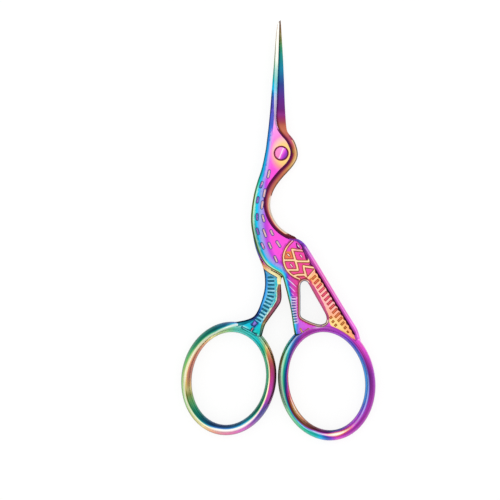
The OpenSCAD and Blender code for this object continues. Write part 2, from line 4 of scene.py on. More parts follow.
import bpy
import numpy as np
from mathutils import Vector
from mathutils.geometry import delaunay_2d_cdt
from mathutils.kdtree import KDTree
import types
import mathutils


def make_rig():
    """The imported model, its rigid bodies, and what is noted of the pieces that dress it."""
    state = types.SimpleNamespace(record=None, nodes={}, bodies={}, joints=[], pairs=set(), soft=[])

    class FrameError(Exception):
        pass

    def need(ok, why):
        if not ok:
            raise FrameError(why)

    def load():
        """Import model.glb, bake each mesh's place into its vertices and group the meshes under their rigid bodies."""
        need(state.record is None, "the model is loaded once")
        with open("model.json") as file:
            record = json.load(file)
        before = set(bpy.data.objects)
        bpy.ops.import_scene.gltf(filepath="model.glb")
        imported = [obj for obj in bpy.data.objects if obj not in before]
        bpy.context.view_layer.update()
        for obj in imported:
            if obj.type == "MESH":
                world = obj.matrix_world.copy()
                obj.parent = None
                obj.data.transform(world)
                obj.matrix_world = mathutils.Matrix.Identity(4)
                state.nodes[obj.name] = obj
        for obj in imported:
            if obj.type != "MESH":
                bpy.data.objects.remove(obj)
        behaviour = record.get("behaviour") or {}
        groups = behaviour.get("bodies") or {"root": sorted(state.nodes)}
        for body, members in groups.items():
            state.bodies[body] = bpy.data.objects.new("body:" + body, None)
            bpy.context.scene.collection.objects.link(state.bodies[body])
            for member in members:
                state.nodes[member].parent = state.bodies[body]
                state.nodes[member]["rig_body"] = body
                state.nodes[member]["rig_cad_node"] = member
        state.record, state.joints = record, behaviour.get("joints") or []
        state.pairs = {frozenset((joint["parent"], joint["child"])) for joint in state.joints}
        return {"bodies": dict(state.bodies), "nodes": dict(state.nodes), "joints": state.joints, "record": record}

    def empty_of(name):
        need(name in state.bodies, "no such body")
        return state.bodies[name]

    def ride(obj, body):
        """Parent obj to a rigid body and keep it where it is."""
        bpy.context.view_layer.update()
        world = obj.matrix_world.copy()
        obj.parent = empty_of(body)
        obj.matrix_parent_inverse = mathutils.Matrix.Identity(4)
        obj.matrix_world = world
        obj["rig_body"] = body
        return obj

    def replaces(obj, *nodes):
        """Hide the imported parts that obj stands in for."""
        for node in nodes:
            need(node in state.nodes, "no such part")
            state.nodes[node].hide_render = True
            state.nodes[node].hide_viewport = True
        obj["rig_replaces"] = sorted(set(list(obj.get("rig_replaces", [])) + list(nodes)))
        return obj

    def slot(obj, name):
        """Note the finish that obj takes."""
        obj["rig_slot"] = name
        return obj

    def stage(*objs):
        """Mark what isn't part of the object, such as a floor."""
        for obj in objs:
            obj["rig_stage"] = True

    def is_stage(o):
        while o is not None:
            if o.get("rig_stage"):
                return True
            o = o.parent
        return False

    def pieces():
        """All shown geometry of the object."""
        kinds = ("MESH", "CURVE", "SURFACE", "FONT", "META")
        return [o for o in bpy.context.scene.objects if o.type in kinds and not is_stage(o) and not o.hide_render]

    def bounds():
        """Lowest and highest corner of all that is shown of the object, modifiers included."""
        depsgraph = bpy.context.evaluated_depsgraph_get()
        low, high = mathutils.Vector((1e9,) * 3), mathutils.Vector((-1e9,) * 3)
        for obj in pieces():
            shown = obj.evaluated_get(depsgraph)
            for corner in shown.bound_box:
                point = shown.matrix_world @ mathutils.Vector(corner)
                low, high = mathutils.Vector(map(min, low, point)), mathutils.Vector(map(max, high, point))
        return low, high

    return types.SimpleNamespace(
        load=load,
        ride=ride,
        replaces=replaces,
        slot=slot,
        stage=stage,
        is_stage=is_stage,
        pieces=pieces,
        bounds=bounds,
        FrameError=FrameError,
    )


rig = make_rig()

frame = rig.load()
cad_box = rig.bounds()

# All lengths below are millimetres in the shared frame, turned into metres when a mesh is made
MM = 0.001
BLADE_LEN, TIP_STEP, BLADE_T, TIP_T, EDGE_T = 29.8, 0.5, 1.35, 0.55, 0.15
HALF_T, FACE_GAP, SHOULDER_GAP, SHOULDER_W, FALL = 1.7, 0.05, 0.3, 1.2, 0.55
BLADE_ROOT, EDGE_LAP, BAND_W, BAND_T, LEAN = 6.0, 0.6, 2.35, 3.3, 9.5
FRONT_TIP = BLADE_LEN - TIP_STEP
HEAD_R, HEAD_H, HEAD_GAP, SEAT_GAP = 1.5, 0.75, 0.2, 0.02
FRONT_BORE, BACK_BORE, SHANK = 0.94, 0.9, 0.895  # radii; the shank is pressed into the back half
SLOT_W, SLOT_DEPTH, SLOT_ANGLE = 0.35, 0.35, 67.0
ROUNDING = 1.8  # power of the bows' superellipse section
WINDOW_BEVEL, WALL = 0.55, 0.04  # WALL is how far the step at a shoulder leans

# Outline rows: x, y, width of the bevel and, where it isn't 0, the share of the bevel that is blade grind
FRONT_SPINE = [
    [-0.62, 1, 0.08], [-0.92, 0.95, 0.1], [-1.25, 0.82, 0.16], [-1.65, 0.58, 0.28], [-2.05, 0.38, 0.6],
    [-2.45, 0.16, 0.9]]
FRONT_EDGE = [
    [-0.4, 1, 0.25, 1], [-0.5, 0.85, 0.6, 1], [-0.65, 0.63, 0.7, 1], [-0.8, 0.45, 0.72, 1], [-0.95, 0.25, 0.62, 1],
    [-1.1, 0.13, 0.5, 1]]
BACK_SPINE = [
    [-0.12, 1, 0.08], [0.07, 0.89, 0.12], [0.25, 0.76, 0.2], [0.45, 0.62, 0.3], [0.63, 0.44, 0.5],
    [0.8, 0.24, 0.78], [0.97, 0.1, 0.95]]
BACK_GRIND = [0.3, 0.8, 1.2, 1.42, 1.6, 1.65]
FRONT_BELLY = [
    [-2.8, 6.1, 1.05], [-3.17, 3, 0.9], [-3.5, 0.6, 0.9], [-4.3, -3.2, 1.1], [-5.2, -6, 1.2], [-5.95, -8.6, 1.2],
    [-6.5, -11.6, 1.2], [-6.75, -14.6, 1.2], [-6.55, -17, 1.15], [-6, -19.4, 1.1], [-5.3, -21.6, 1],
    [-4.4, -23.4, 0.9], [-3.3, -24.9, 0.75], [-1.95, -25.9, 0.6], [-0.6, -26.65, 0.5], [0.2, -27.4, 0.4],
    [0.6, -28.5, 0.33], [1.4, -31.6, 0.33], [2.2, -35.2, 0.33], [2.7, -38.6, 0.33]]
FRONT_NAPE = [
    [-1.05, 7.4, 0.45, 0.9], [-0.83, 6.2, 0.4, 0.6], [-0.38, 5.1, 0.35, 0.2], [0.45, 4, 0.35], [1.3, 3, 0.35],
    [1.95, 1.85, 0.35], [2.37, 0.6, 0.35], [2.3, -0.6, 0.35], [1.85, -1.7, 0.35], [1.07, -2.7, 0.35],
    [-0.1, -3.85, 0.35], [-1.27, -5.2, 0.35], [-2.3, -6.6, 0.35], [-3.1, -8.2, 0.35], [-3.55, -9.9, 0.35],
    [-3.62, -11.6, 0.35], [-3.3, -13.2, 0.35], [-2.6, -14.9, 0.35], [-1.6, -16.4, 0.35], [-0.3, -17.65, 0.35],
    [1, -18.5, 0.35], [2.3, -19, 0.4]]
FRONT_TAIL = [
    [3.6, -19.1, 0.5], [4.75, -19.75, 0.8], [5.7, -20.8, 1.1], [6.95, -22.75, 1.2], [8.65, -25.5, 1.2],
    [10.9, -29.25, 1.2], [13.1, -32.9, 1.2], [15.3, -36.5, 1.2], [17.05, -39.4, 1.2, 0.4]]
BACK_NAPE = [
    [1.13, 6.3, 1], [1.36, 5, 0.95], [1.96, 4.1, 0.85], [2.7, 3.2, 0.8], [3.3, 1.96, 0.8], [3.66, 0.6, 0.8],
    [3.7, -0.5, 0.8], [3.35, -1.65, 0.8], [2.5, -2.95, 0.8], [1.4, -4.2, 0.8], [0.3, -5.4, 0.8],
    [-0.7, -6.65, 0.75], [-1.55, -8, 0.7], [-2.1, -9.4, 0.7], [-2.4, -10.9, 0.7], [-2.35, -12.5, 0.7],
    [-1.75, -14.3, 0.7], [-0.7, -16, 0.7], [0.74, -17.3, 0.7], [2.2, -18.2, 0.6]]
BACK_RUMP = [
    [3.3, -18.8, 0.4], [3.85, -20.2, 0.35], [3.8, -22.2, 0.35], [3.05, -24.2, 0.35], [1.75, -26, 0.35],
    [0.5, -27.3, 0.35], [-0.05, -28.6, 0.35]]
BACK_BELLY = [
    [-2.05, 6.1, 0.9, 0.6], [-2.7, 4.6, 0.8, 0.2], [-3.1, 3, 0.85], [-3.35, 0.6, 0.9], [-4.15, -3.2, 1.1],
    [-5.05, -6, 1.2], [-5.8, -8.6, 1.2], [-6.35, -11.6, 1.2], [-6.6, -14.6, 1.2], [-6.45, -17, 1.15],
    [-6.15, -19.2, 1.1], [-5.6, -21.5, 1], [-4.8, -23.6, 0.9]]
REAR_LEG_LEFT = [
    [-4.15, -25.2, 0.67], [-3.75, -26.8, 0.67], [-3.6, -28.7, 0.67], [-3.7, -30.3, 0.67], [-4.05, -31.9, 0.67],
    [-4.55, -33.5, 0.67], [-5.2, -35.1, 0.67], [-6.1, -36.4, 0.67], [-7.5, -37.1, 0.8, 0.1], [-9.2, -37.5, 1, 0.5]]
REAR_LEG_RIGHT = [
    [0, -30.1, 0.9], [0.1, -31.85, 1], [-0.1, -33.2, 1], [-0.9, -34.5, 0.95], [-1.9, -35.9, 0.9],
    [-3, -37.4, 0.85], [-3.7, -38.6, 0.8]]
WINDOW = [
    [4.3, -29.5], [4.75, -28.65], [5.5, -28.55], [6.15, -29.15], [7.8, -32.1], [9.45, -35], [10.15, -36.6],
    [9.95, -37.8], [8.8, -38.25], [7.1, -37.85], [5.1, -36.95], [4.35, -36.2], [4.3, -34.5], [4.3, -32]]

DASHES = [
    [-4.25, -6.5, -4.6, -7.5], [-5.15, -9.9, -5.35, -10.9], [-5.35, -13.65, -5.35, -14.75],
    [-5.4, -16.9, -5.1, -17.95], [-4.4, -20.15, -3.95, -21.15], [-2.65, -3.95, -2.95, -5.3],
    [-3.6, -8.2, -3.9, -9.6], [-4.15, -10.85, -4.35, -12.2], [-4.15, -13.9, -3.85, -15.1],
    [-3.95, -17.1, -3.45, -18.5], [-2.75, -20.1, -2.3, -21.1], [-1.45, -23.1, -1, -24.15],
    [-2.3, -17.3, -1.9, -18.1], [-0.95, -19.75, -0.3, -20.75]]
WING_ARC = [
    [2.3, -19.4], [1.6, -20.1], [1, -20.9], [0.55, -21.8], [0.3, -22.8], [0.3, -23.8], [0.45, -24.8],
    [0.85, -25.8], [1.5, -26.7], [2.3, -27.4], [3.2, -27.95], [3.85, -28.2]]
WING_REST = [
    [5, -28.2], [6.0, -27.95], [7.55, -26.1], [7.45, -25.4], [6.85, -24.7], [6.55, -23.7], [5.7, -22.1],
    [5.1, -21.2], [4.55, -20.7], [3.7, -19.85], [2.95, -19.45]]
WING_BARS = [
    [[0.5, -23.85], [3.1, -23.85], [3.6, -24.1], [6.1, -24.15]], [[6.1, -24.15], [6.15, -23.4]],
    [[2.42, -21.45], [2.8, -22.7], [3.15, -23.9], [3.5, -25.1], [3.72, -26.05]],
    [[2.42, -21.45], [3.3, -21.6], [4.95, -21.75]], [[7.5, -25.55], [6.3, -25.4], [5.2, -25.25]],
    [[5.0, -25.15], [5.1, -25.9], [5.5, -27.2]], [[1.2, -26.05], [3.72, -26.05]],
    [[2.9, -27.35], [3.6, -27.15], [5.2, -27.1], [5.6, -27.5]], [[7.5, -26.1], [6.0, -27.8]]]
WING_SEEDS = [
    [3.55, -20.4, 4.05, -20.95], [1.4, -22.45, 1.85, -22.9], [4.25, -22.7, 4.65, -23.2],
    [2.05, -24.75, 2.5, -25.35]]
RECESSES = [
    [[4.6, -21.25], [5.05, -21.3], [5.5, -22.3], [6, -23.3], [5.85, -23.85], [5.5, -23.6], [5.1, -22.1]],
    [[6.35, -23.7], [6.8, -24.4], [7.3, -25.3], [6.25, -24.85], [6.5, -24.4]],
    [[3.3, -20.05], [3.45, -20], [3.6, -20.9], [4.2, -21.3], [3.5, -21.1]]]
TAIL_RIBS = [[7.3, -27.7], [14.85, -39.85]]
SIDE_POCKETS = [[11.1, -36.65], [11.55, -37.55], [12.15, -38.35]]
TEETH = np.array([[7.55, -26], [16.35, -40.56]])
REAR_RIBS = [[-2.3, -27.7], [-2.25, -30.2], [-2.45, -32.2], [-3.4, -34.3], [-4.65, -36.3], [-5.15, -37.1]]
FRONT_RIBS = [[2.85, -32.2], [2.85, -34.6], [3.15, -37.6]]
RIGHT_TOES = [[3.7, -40.8, 6.1, -39.2], [4.3, -39.2, 4.75, -40.05]]
LEFT_TOES = [[-8.6, -38.9, -5.6, -40.55], [-6.3, -39, -6.8, -39.85]]


def spline(rows, steps=6, closed=False):
    """A Catmull-Rom curve through the rows."""
    wide = max(len(r) for r in rows)
    rows = np.array([[*r] + [0] * (wide - len(r)) for r in rows], float)
    n = len(rows)
    out = []
    for i in range(n if closed else n - 1):
        a, b, c, d = (rows[(i + k) % n] if closed else rows[min(max(i + k, 0), n - 1)] for k in (-1, 0, 1, 2))
        for k in range(steps):
            t = k / steps
            out.append(0.5 * (2 * b + (c - a) * t + (2 * a - 5 * b + 4 * c - d) * t ** 2
                              + (3 * b - a - 3 * c + d) * t ** 3))
    if not closed:
        out.append(rows[-1])
    return np.array(out)


def on_blade(rows, tip):
    """Outline rows whose y is given as a share of the blade."""
    return [[r[0], BLADE_ROOT + (tip - BLADE_ROOT) * r[1], *r[2:]] for r in rows]


def beside(path, by, closed=False):
    """The path moved sideways, to the left of its run."""
    d = np.roll(path, -1, 0) - np.roll(path, 1, 0) if closed else np.gradient(path, axis=0)
    n = np.stack([-d[:, 1], d[:, 0]], 1)
    n = n / np.maximum(np.linalg.norm(n, axis=1, keepdims=True), 1e-9)
    return path[:, :2] + n * np.reshape(by, (-1, 1))


def ring(path):
    """The path with its first point again at its end."""
    return np.vstack([path, path[:1]])


def length_along(path):
    return np.concatenate([[0], np.cumsum(np.linalg.norm(np.diff(path[:, :2], axis=0), axis=1))])


def even(path, step, closed=False):
    """The path with a point about every step, its other columns carried along."""
    p = ring(path) if closed else path
    run = length_along(p)
    at = np.linspace(0, run[-1], max(int(run[-1] / step), 2) + 1)
    if closed:
        at = at[:-1]
    return np.stack([np.interp(at, run, p[:, k]) for k in range(p.shape[1])], 1)


def tree_of(points):
    tree = KDTree(len(points))
    for i, p in enumerate(points):
        tree.insert((p[0], p[1], 0), i)
    tree.balance()
    return tree


TREES = {}  # one for each path that nearest has met


def nearest(pts, path, closed=False):
    """Distance from each point to an evenly stepped path, the path's columns there and the run along it."""
    p = ring(path) if closed else path
    key = p.tobytes()
    if key not in TREES:
        TREES[key] = tree_of(p)
    find = TREES[key].find
    near = np.array([find((x, y, 0))[1] for x, y in pts.tolist()], int)
    run = length_along(p)
    best = None
    for i in (np.maximum(near - 1, 0), np.minimum(near, len(p) - 2)):
        a, ab = p[i, :2], p[i + 1, :2] - p[i, :2]
        t = np.clip(((pts - a) * ab).sum(1) / np.maximum((ab ** 2).sum(1), 1e-12), 0, 1)
        d = np.linalg.norm(pts - a - ab * t[:, None], axis=1)
        cols = p[i] * (1 - t[:, None]) + p[i + 1] * t[:, None]
        along = run[i] * (1 - t) + run[i + 1] * t
        if best is None:
            best = [d, cols, along]
        else:
            less = d < best[0]
            best = [np.where(less, d, best[0]), np.where(less[:, None], cols, best[1]),
                np.where(less, along, best[2])]
    return best


def inside(pts, loop):
    """Whether each point lies inside a loop."""
    x, y = pts[:, 0], pts[:, 1]
    out = np.zeros(len(pts), bool)
    for (ax, ay), (bx, by) in zip(loop[:, :2], np.roll(loop[:, :2], -1, 0)):
        if ay != by:
            out ^= ((ay > y) != (by > y)) & (x < (bx - ax) * (y - ay) / (by - ay) + ax)
    return out


def smooth(t):
    """0 up to 0, 1 from 1 on, and a soft step between."""
    t = np.clip(t, 0, 1)
    return t * t * (3 - 2 * t)


def ramp(at, stops):
    """Value at each place, between stops given as place: value."""
    return np.interp(at, *zip(*sorted(stops.items())))


# Half width and height of each bow's inner oval: the left one is -1, the right one 1
BOWS = {-1: np.array([16.5, 20.8]) / 2, 1: np.array([17.0, 22.0]) / 2}
BOW_MIDDLE, BOW_GAP, BOW_DROP = -0.88, 0.3, 37.6


def bow_centre(side):
    o = BOWS[side] + BAND_W
    c, s = math.cos(math.radians(LEAN)), math.sin(math.radians(LEAN))
    return np.array([BOW_MIDDLE + side * (BOW_GAP / 2 + math.hypot(o[0] * c, o[1] * s)),
                     -BOW_DROP - math.hypot(o[1] * c, o[0] * s)])


def bow_point(side, t, share):
    """The point at an angle in degrees and a share of the band, 0 at the inner oval and 1 at the outer one."""
    o = BOWS[side] + np.multiply.outer(share, [BAND_W, BAND_W])
    a, lean = np.radians(t), side * math.radians(LEAN)
    x, y = o[..., 0] * np.cos(a), o[..., 1] * np.sin(a)
    c = bow_centre(side)
    return np.stack([c[0] + x * math.cos(lean) - y * math.sin(lean),
                     c[1] + x * math.sin(lean) + y * math.cos(lean)], -1)


def bow_share(side, pts):
    """Where points lie between a bow's inner oval (0) and its outer one (1), and their angle."""
    c, lean = bow_centre(side), side * math.radians(LEAN)
    d = pts - c
    x = d[:, 0] * math.cos(lean) + d[:, 1] * math.sin(lean)
    y = -d[:, 0] * math.sin(lean) + d[:, 1] * math.cos(lean)
    i = BOWS[side]
    share = np.full(len(pts), 0.5)
    for _ in range(12):
        o = i + share[:, None] * BAND_W
        f = np.sqrt((x / o[:, 0]) ** 2 + (y / o[:, 1]) ** 2)
        r = np.hypot(x, y)
        share += (f - 1) * r / np.maximum(f, 1e-6) / BAND_W
    return share, np.degrees(np.arctan2(y / i[1], x / i[0]))


def crest(share):
    """Height of a bow's surface above its middle plane."""
    u = np.clip(np.abs(2 * share - 1), 0, 1)
    return BAND_T / 2 * (1 - u ** ROUNDING) ** (1 / ROUNDING)


LEFT_ROOT, RIGHT_ROOT = (96, 57), (120, 33)  # angles at which the legs and the tail meet the bows


def root_row(side, t, w, grind):
    return [*bow_point(side, t, 0.95), w, grind]


def root_end(side, root):
    """The end of a leg or tail, which dips into the bow's band."""
    return np.array([bow_point(side, root[0] + (root[1] - root[0]) * i / 12, 0.3 + 0.6 * abs(i / 6 - 1) ** 3)
                     for i in range(1, 12)])


BACK_EDGE = [[r[0] - EDGE_LAP * (0.45 + 0.55 * i / 5), r[1], BACK_GRIND[i], 1] for i, r in enumerate(FRONT_EDGE)]
STEP = 0.16


def edge_line(blade, tip, rows, *root):
    """One edge of a half, from the tip to the bow."""
    return even(spline(on_blade(blade, tip) + rows + [root_row(*root)]), STEP)


front_left = edge_line(FRONT_SPINE, FRONT_TIP, FRONT_BELLY, 1, RIGHT_ROOT[0], 0.4, 0.3)
front_right = edge_line(FRONT_EDGE, FRONT_TIP, FRONT_NAPE + FRONT_TAIL, 1, RIGHT_ROOT[1], 1.1, 0.95)
back_right = edge_line(BACK_SPINE, BLADE_LEN, BACK_NAPE + BACK_RUMP + REAR_LEG_RIGHT, -1, LEFT_ROOT[1], 0.6, 0.3)
back_left = edge_line(BACK_EDGE, FRONT_TIP, BACK_BELLY + REAR_LEG_LEFT, -1, LEFT_ROOT[0], 1.1, 0.95)
window = even(spline(WINDOW, closed=True), STEP, closed=True)
window_path = np.column_stack([window, np.full(len(window), WINDOW_BEVEL), np.zeros(len(window))])
front_loop = np.vstack([front_left[:, :2], root_end(1, RIGHT_ROOT), front_right[::-1, :2]])
back_loop = np.vstack([back_left[:, :2], root_end(-1, LEFT_ROOT), back_right[::-1, :2]])
back_rump = spline(BACK_RUMP)
front_shoulder = beside(back_rump, SHOULDER_GAP)
back_belly = spline([r for r in FRONT_BELLY if -30 < r[1] < -22.5])
back_shoulder = beside(back_belly, -SHOULDER_GAP)


def ridge(y):
    """Height of the outer face: the blade thins to its tip."""
    t = (y - BLADE_ROOT) / (BLADE_LEN - BLADE_ROOT)
    return np.where(t < 0, HALF_T, np.where(
        t < 0.12, HALF_T + (BLADE_T - HALF_T) * t / 0.12, BLADE_T + (TIP_T - BLADE_T) * (t - 0.12) / 0.88))


def bevelled(d, cols, high):
    """Height that a bevel leaves at distance d from its edge."""
    w, grind = np.maximum(cols[:, 2], 0.05), cols[:, 3]
    low = (high - FALL * w) * (1 - grind) + EDGE_T * grind
    return np.where(d < w, low + (high - low) * d / w, high + (d >= w) * 1e-3)


def capsule(pts, seg, r):
    """Distance outside a round-ended bar."""
    a, b = np.array(seg[:2]), np.array(seg[2:])
    t = np.clip(((pts - a) @ (b - a)) / ((b - a) @ (b - a)), 0, 1)
    return np.linalg.norm(pts - (a + t[:, None] * (b - a)), axis=1) - r


def block(pts, centre, turn, long, wide):
    """Distance outside a turned rectangle."""
    c, s = math.cos(math.radians(turn)), math.sin(math.radians(turn))
    d = pts - np.array(centre)
    u = np.abs(d[:, 0] * c + d[:, 1] * s) - long / 2
    v = np.abs(-d[:, 0] * s + d[:, 1] * c) - wide / 2
    return np.maximum(u, v)


def ribs_along(rows, count):
    """Places and angles of ribs across a line."""
    line = even(spline(rows), 0.05)
    at = np.linspace(0, len(line) - 1, count).astype(int)
    d = np.gradient(line, axis=0)
    return [(line[i], math.degrees(math.atan2(d[i][1], d[i][0])) + 90) for i in at]


def tail_cuts(count=14, turn=44, long=1.4, wide=0.5):
    """The tail's ribs, shorter towards both ends, and the pockets beside them."""
    share = [i / (count - 1) for i in range(count)]
    return [[np.array(TAIL_RIBS[0]) * (1 - t) + np.array(TAIL_RIBS[1]) * t, turn,
             long * min(1, (t + 0.25) / 0.3, (1 - t) / 0.35 + 0.25), wide] for t in share] + [
                 [c, turn, 0.6, wide] for c in SIDE_POCKETS]


def in_scene(name, data):
    obj = bpy.data.objects.new(name, data)
    bpy.context.scene.collection.objects.link(obj)
    return obj


class Skin:
    """A piece gathered in parts. Its corners carry film, tone and dullness for the material; the tone holds painted
    highlights and painted shade as well as lighter and darker colours of the film.
    """

    def __init__(self):
        self.verts, self.faces, self.film, self.tone, self.dull, self.group = [], [], [], [], [], []
        self.count = 0

    def add(self, verts, faces, film, tone, group, dull=0.0):
        """verts N x 3, faces as rows of corners, film, tone and dull per face corner, group per face.

        Edges between two groups are sharp.
        """
        self.verts.append(verts)
        self.faces.extend([[i + self.count for i in f] for f in faces])
        for kept, given in ((self.film, film), (self.tone, tone), (self.dull, dull)):
            kept.append(np.ravel(np.broadcast_to(given, np.shape(film))))
        self.group.extend(group)
        self.count += len(verts)

    def build(self, name, place):
        verts = place(np.vstack(self.verts)) * MM
        mesh = bpy.data.meshes.new(name)
        mesh.from_pydata(verts.tolist(), [], self.faces)
        for label, data in (("film", self.film), ("tone", self.tone), ("dull", self.dull)):
            made = mesh.attributes.new(label, "FLOAT", "CORNER")
            made.data.foreach_set("value", np.concatenate(data).astype(np.float32))
        mesh.shade_smooth()
        sides = {}
        for f, g in zip(self.faces, self.group):
            for a, b in zip(f, f[1:] + f[:1]):
                sides.setdefault((min(a, b), max(a, b)), []).append(g)
        keys = mesh.edge_keys
        flags = [len(set(sides.get(k, [0]))) > 1 for k in keys]
        sharp = mesh.attributes.new("sharp_edge", "BOOLEAN", "EDGE")
        sharp.data.foreach_set("value", flags)
        mesh.update()
        return in_scene(name, mesh)


def triangulate(loops, lines, detail, fine=0.1, coarse=0.4):
    """Points and triangles inside the first loop and outside the others."""
    pts, edges = [], []
    for path, closed in [(p, True) for p in loops] + [(p, False) for p in lines]:
        start = len(pts)
        pts.extend(path[:, :2].tolist())
        edges.extend([(start + i, start + i + 1) for i in range(len(path) - 1)])
        if closed:
            edges.append((len(pts) - 1, start))
    tree = tree_of(pts)
    lo, hi = loops[0][:, :2].min(0), loops[0][:, :2].max(0)
    fills = []
    for step, wanted in ((fine, True), (coarse, False)):
        gx, gy = np.meshgrid(np.arange(lo[0], hi[0], step), np.arange(lo[1], hi[1], step * 0.87))
        gx = gx + (np.arange(gx.shape[0]) % 2)[:, None] * step / 2
        g = np.stack([gx.ravel(), gy.ravel()], 1)
        g = g[detail(g) == wanted]
        g = g[inside(g, loops[0])]
        for hole in loops[1:]:
            g = g[~inside(g, hole)]
        room = 0.45 * step if wanted else 0.16
        fills.extend(p for p in g.tolist() if tree.find((p[0], p[1], 0))[2] > room)
    made = delaunay_2d_cdt([Vector(p) for p in pts + fills], edges, [], 0, 1e-5)
    xy = np.array([v[:] for v in made[0]])
    tri = np.array(made[2])
    mid = xy[tri].mean(1)
    keep = inside(mid, loops[0])
    for hole in loops[1:]:
        keep &= ~inside(mid, hole)
    return xy, tri[keep]


def circle(r, n=72):
    t = np.linspace(0, 2 * math.pi, n, endpoint=False)
    return np.stack([r * np.cos(t), r * np.sin(t)], 1)


def lifted(loop, z):
    return np.column_stack([loop, np.broadcast_to(z, len(loop))])


def wall(skin, loop, top, low, film, tone, flip=False):
    """A strip between two heights along a loop."""
    n = len(loop)
    faces = [[i, i + n, (i + 1) % n + n, (i + 1) % n] for i in range(n)]
    if flip:
        faces = [f[::-1] for f in faces]
    f, t = (np.broadcast_to(v, n) for v in (film, tone))
    order = np.array(faces) % n
    skin.add(np.vstack([lifted(loop, top), lifted(loop, low)]), faces, f[order], t[order], [90] * n)


def bevel_line(path, side=1):
    """The inner line of a bevel, as a guide for the triangles."""
    return beside(path, side * path[:, 2])


def share_limit(side, p, z):
    """Brings the foot of a leg or tail down onto the bow's crest."""
    share, turn = bow_share(side, p)
    on = -FACE_GAP / 2 + crest(np.minimum(share, 0.5)) + 0.02
    rise = smooth((share - 0.5) / 0.25) * 0.2
    return np.where(share < 0.95, np.minimum(z, on + rise), z), dict(share=share, turn=turn)


# Turned rectangles: centre, turn, length and width
FRONT_CUT = [[c, turn, 1.0, 0.28] for c, turn in ribs_along(FRONT_RIBS, 10)]
THIGH = [[1.1, -27.75, 3.35, -29.85], [1.55, -29.35, 3.15, -30.95], [1.95, -30.85, 2.85, -31.75]]
REAR_CUT = [[c, turn, 1.6, 0.45] for c, turn in ribs_along(REAR_RIBS, 13)]
TAIL_CUT = tail_cuts()
CUFF = [(-5.95, -38.05), 50, 1.15, 0.95]
TAIL_BAND = np.array([
    [6, -28], [7.2, -29.5], [8.2, -31.2], [9.25, -33.1], [10, -34.8], [10.4, -36.2], [10.55, -37.3], [11.1, -38.5],
    [12.7, -39.2], [14.5, -40.3], [16.25, -41.56], [17.25, -42.1], [18.5, -42], [9, -26], [7.6, -26], [7.4, -26.4]])
wing_line = even(spline(WING_ARC, 4), 0.12)
wing_loop = np.vstack([wing_line, np.array(WING_REST)])
wing_bars = [even(np.array(b, float), 0.15) for b in WING_BARS]
tooth_along = (TEETH[1] - TEETH[0]) / np.linalg.norm(TEETH[1] - TEETH[0])
tooth_in = np.array([tooth_along[1], -tooth_along[0]])
TOOTH_STEPS, TOOTH_REACH, TOOTH_BACK = 28, 0.24, 0.2
teeth = np.vstack([TEETH - tooth_in * TOOTH_BACK,
                   [TEETH[1] + (TEETH[0] - TEETH[1]) * i / TOOTH_STEPS + tooth_in * (0, TOOTH_REACH)[i % 2]
                    for i in range(TOOTH_STEPS + 1)]])
WING_RIM, WING_BAR = 0.42, 0.21  # half widths of the bars along the wing's arc and inside it


def far(pts):
    """A distance at which no ornament shows."""
    return np.full(len(pts), 9.0)


# Bars with round ends: from and to, and their half width
ROUND = dict(dash=(DASHES, 0.275), seed=(WING_SEEDS, 0.15), thigh=(THIGH, 0.1), toes_right=(RIGHT_TOES, 0.15),
             toes_left=(LEFT_TOES, 0.15))
SQUARE = dict(front_cut=FRONT_CUT, rear_cut=REAR_CUT, tail_cut=TAIL_CUT, cuff=[CUFF])


def outside(p, loop):
    """Distance outside a closed outline, negative within it."""
    d = nearest(p, even(loop, 0.1, True), True)[0]
    return np.where(inside(p, loop), -d, d)


def marks(p, which):
    """Distances outside each kind of ornament, in the order of the names in which."""
    out = {}
    for name in which:
        e = far(p)
        if name in ROUND:
            for d in ROUND[name][0]:
                e = np.minimum(e, capsule(p, d, ROUND[name][1]))
        elif name in SQUARE:
            for c in SQUARE[name]:
                e = np.minimum(e, block(p, *c))
        elif name == "bar":
            near = inside(p, wing_loop)
            if near.any():
                d = nearest(p[near], wing_line)[0] - WING_RIM
                for b in wing_bars:
                    d = np.minimum(d, nearest(p[near], b)[0] - WING_BAR)
                e[near] = d
        elif name == "recess":
            near = inside(p, wing_loop) | (np.hypot(p[:, 0] - 5.3, p[:, 1] + 22.7) < 3.6)
            for loop in RECESSES:
                e[near] = np.minimum(e[near], outside(p[near], np.array(loop)))
        elif name == "teeth":
            near = (p[:, 0] > 7) & (p[:, 1] < -25)
            e[near] = outside(p[near], teeth)
        out[name] = e
    return out


def guides(which, offsets=(0.03, -0.09)):
    """Lines round the ornament, at these distances outside it, which the triangles follow."""
    out = []
    for name in which:
        for by in offsets:
            if name in ROUND:
                for x0, y0, x1, y1 in ROUND[name][0]:
                    r = ROUND[name][1] + by
                    if r > 0.02:
                        turn = math.atan2(y1 - y0, x1 - x0)
                        a = np.linspace(-math.pi / 2, math.pi / 2, 7) + turn
                        end = np.vstack([np.column_stack([x1 + r * np.cos(a), y1 + r * np.sin(a)]),
                                         np.column_stack([x0 - r * np.cos(a), y0 - r * np.sin(a)])])
                        out.append(ring(end))
            elif name in SQUARE:
                for (x, y), turn, long, wide in SQUARE[name]:
                    u, v = long / 2 + by, wide / 2 + by
                    if min(u, v) > 0.02:
                        c, s = math.cos(math.radians(turn)), math.sin(math.radians(turn))
                        corners = ring(np.array([[-u, -v], [u, -v], [u, v], [-u, v]]))
                        out.append(corners @ np.array([[c, s], [-s, c]]) + [x, y])
    return out


def sunk(e, depth, slope=0.12):
    """How deep an ornament is cut at distance e outside it."""
    return depth * smooth((0.03 - e) / slope)


# Depth of each ornament and, where it differs, the slope of its sides
CUTS = dict(dash=(0.22,), thigh=(0.13, 0.1), toes_right=(0.22,), front_cut=(0.22, 0.1), tail_cut=(0.26,),
            recess=(0.3,), teeth=(0.27,), rear_cut=(0.27,), toes_left=(0.22,))


def deepest(m, names, start=0.0):
    """The depth of all these ornaments together."""
    for name in names:
        start = np.maximum(start, sunk(m[name], *CUTS[name]))
    return start


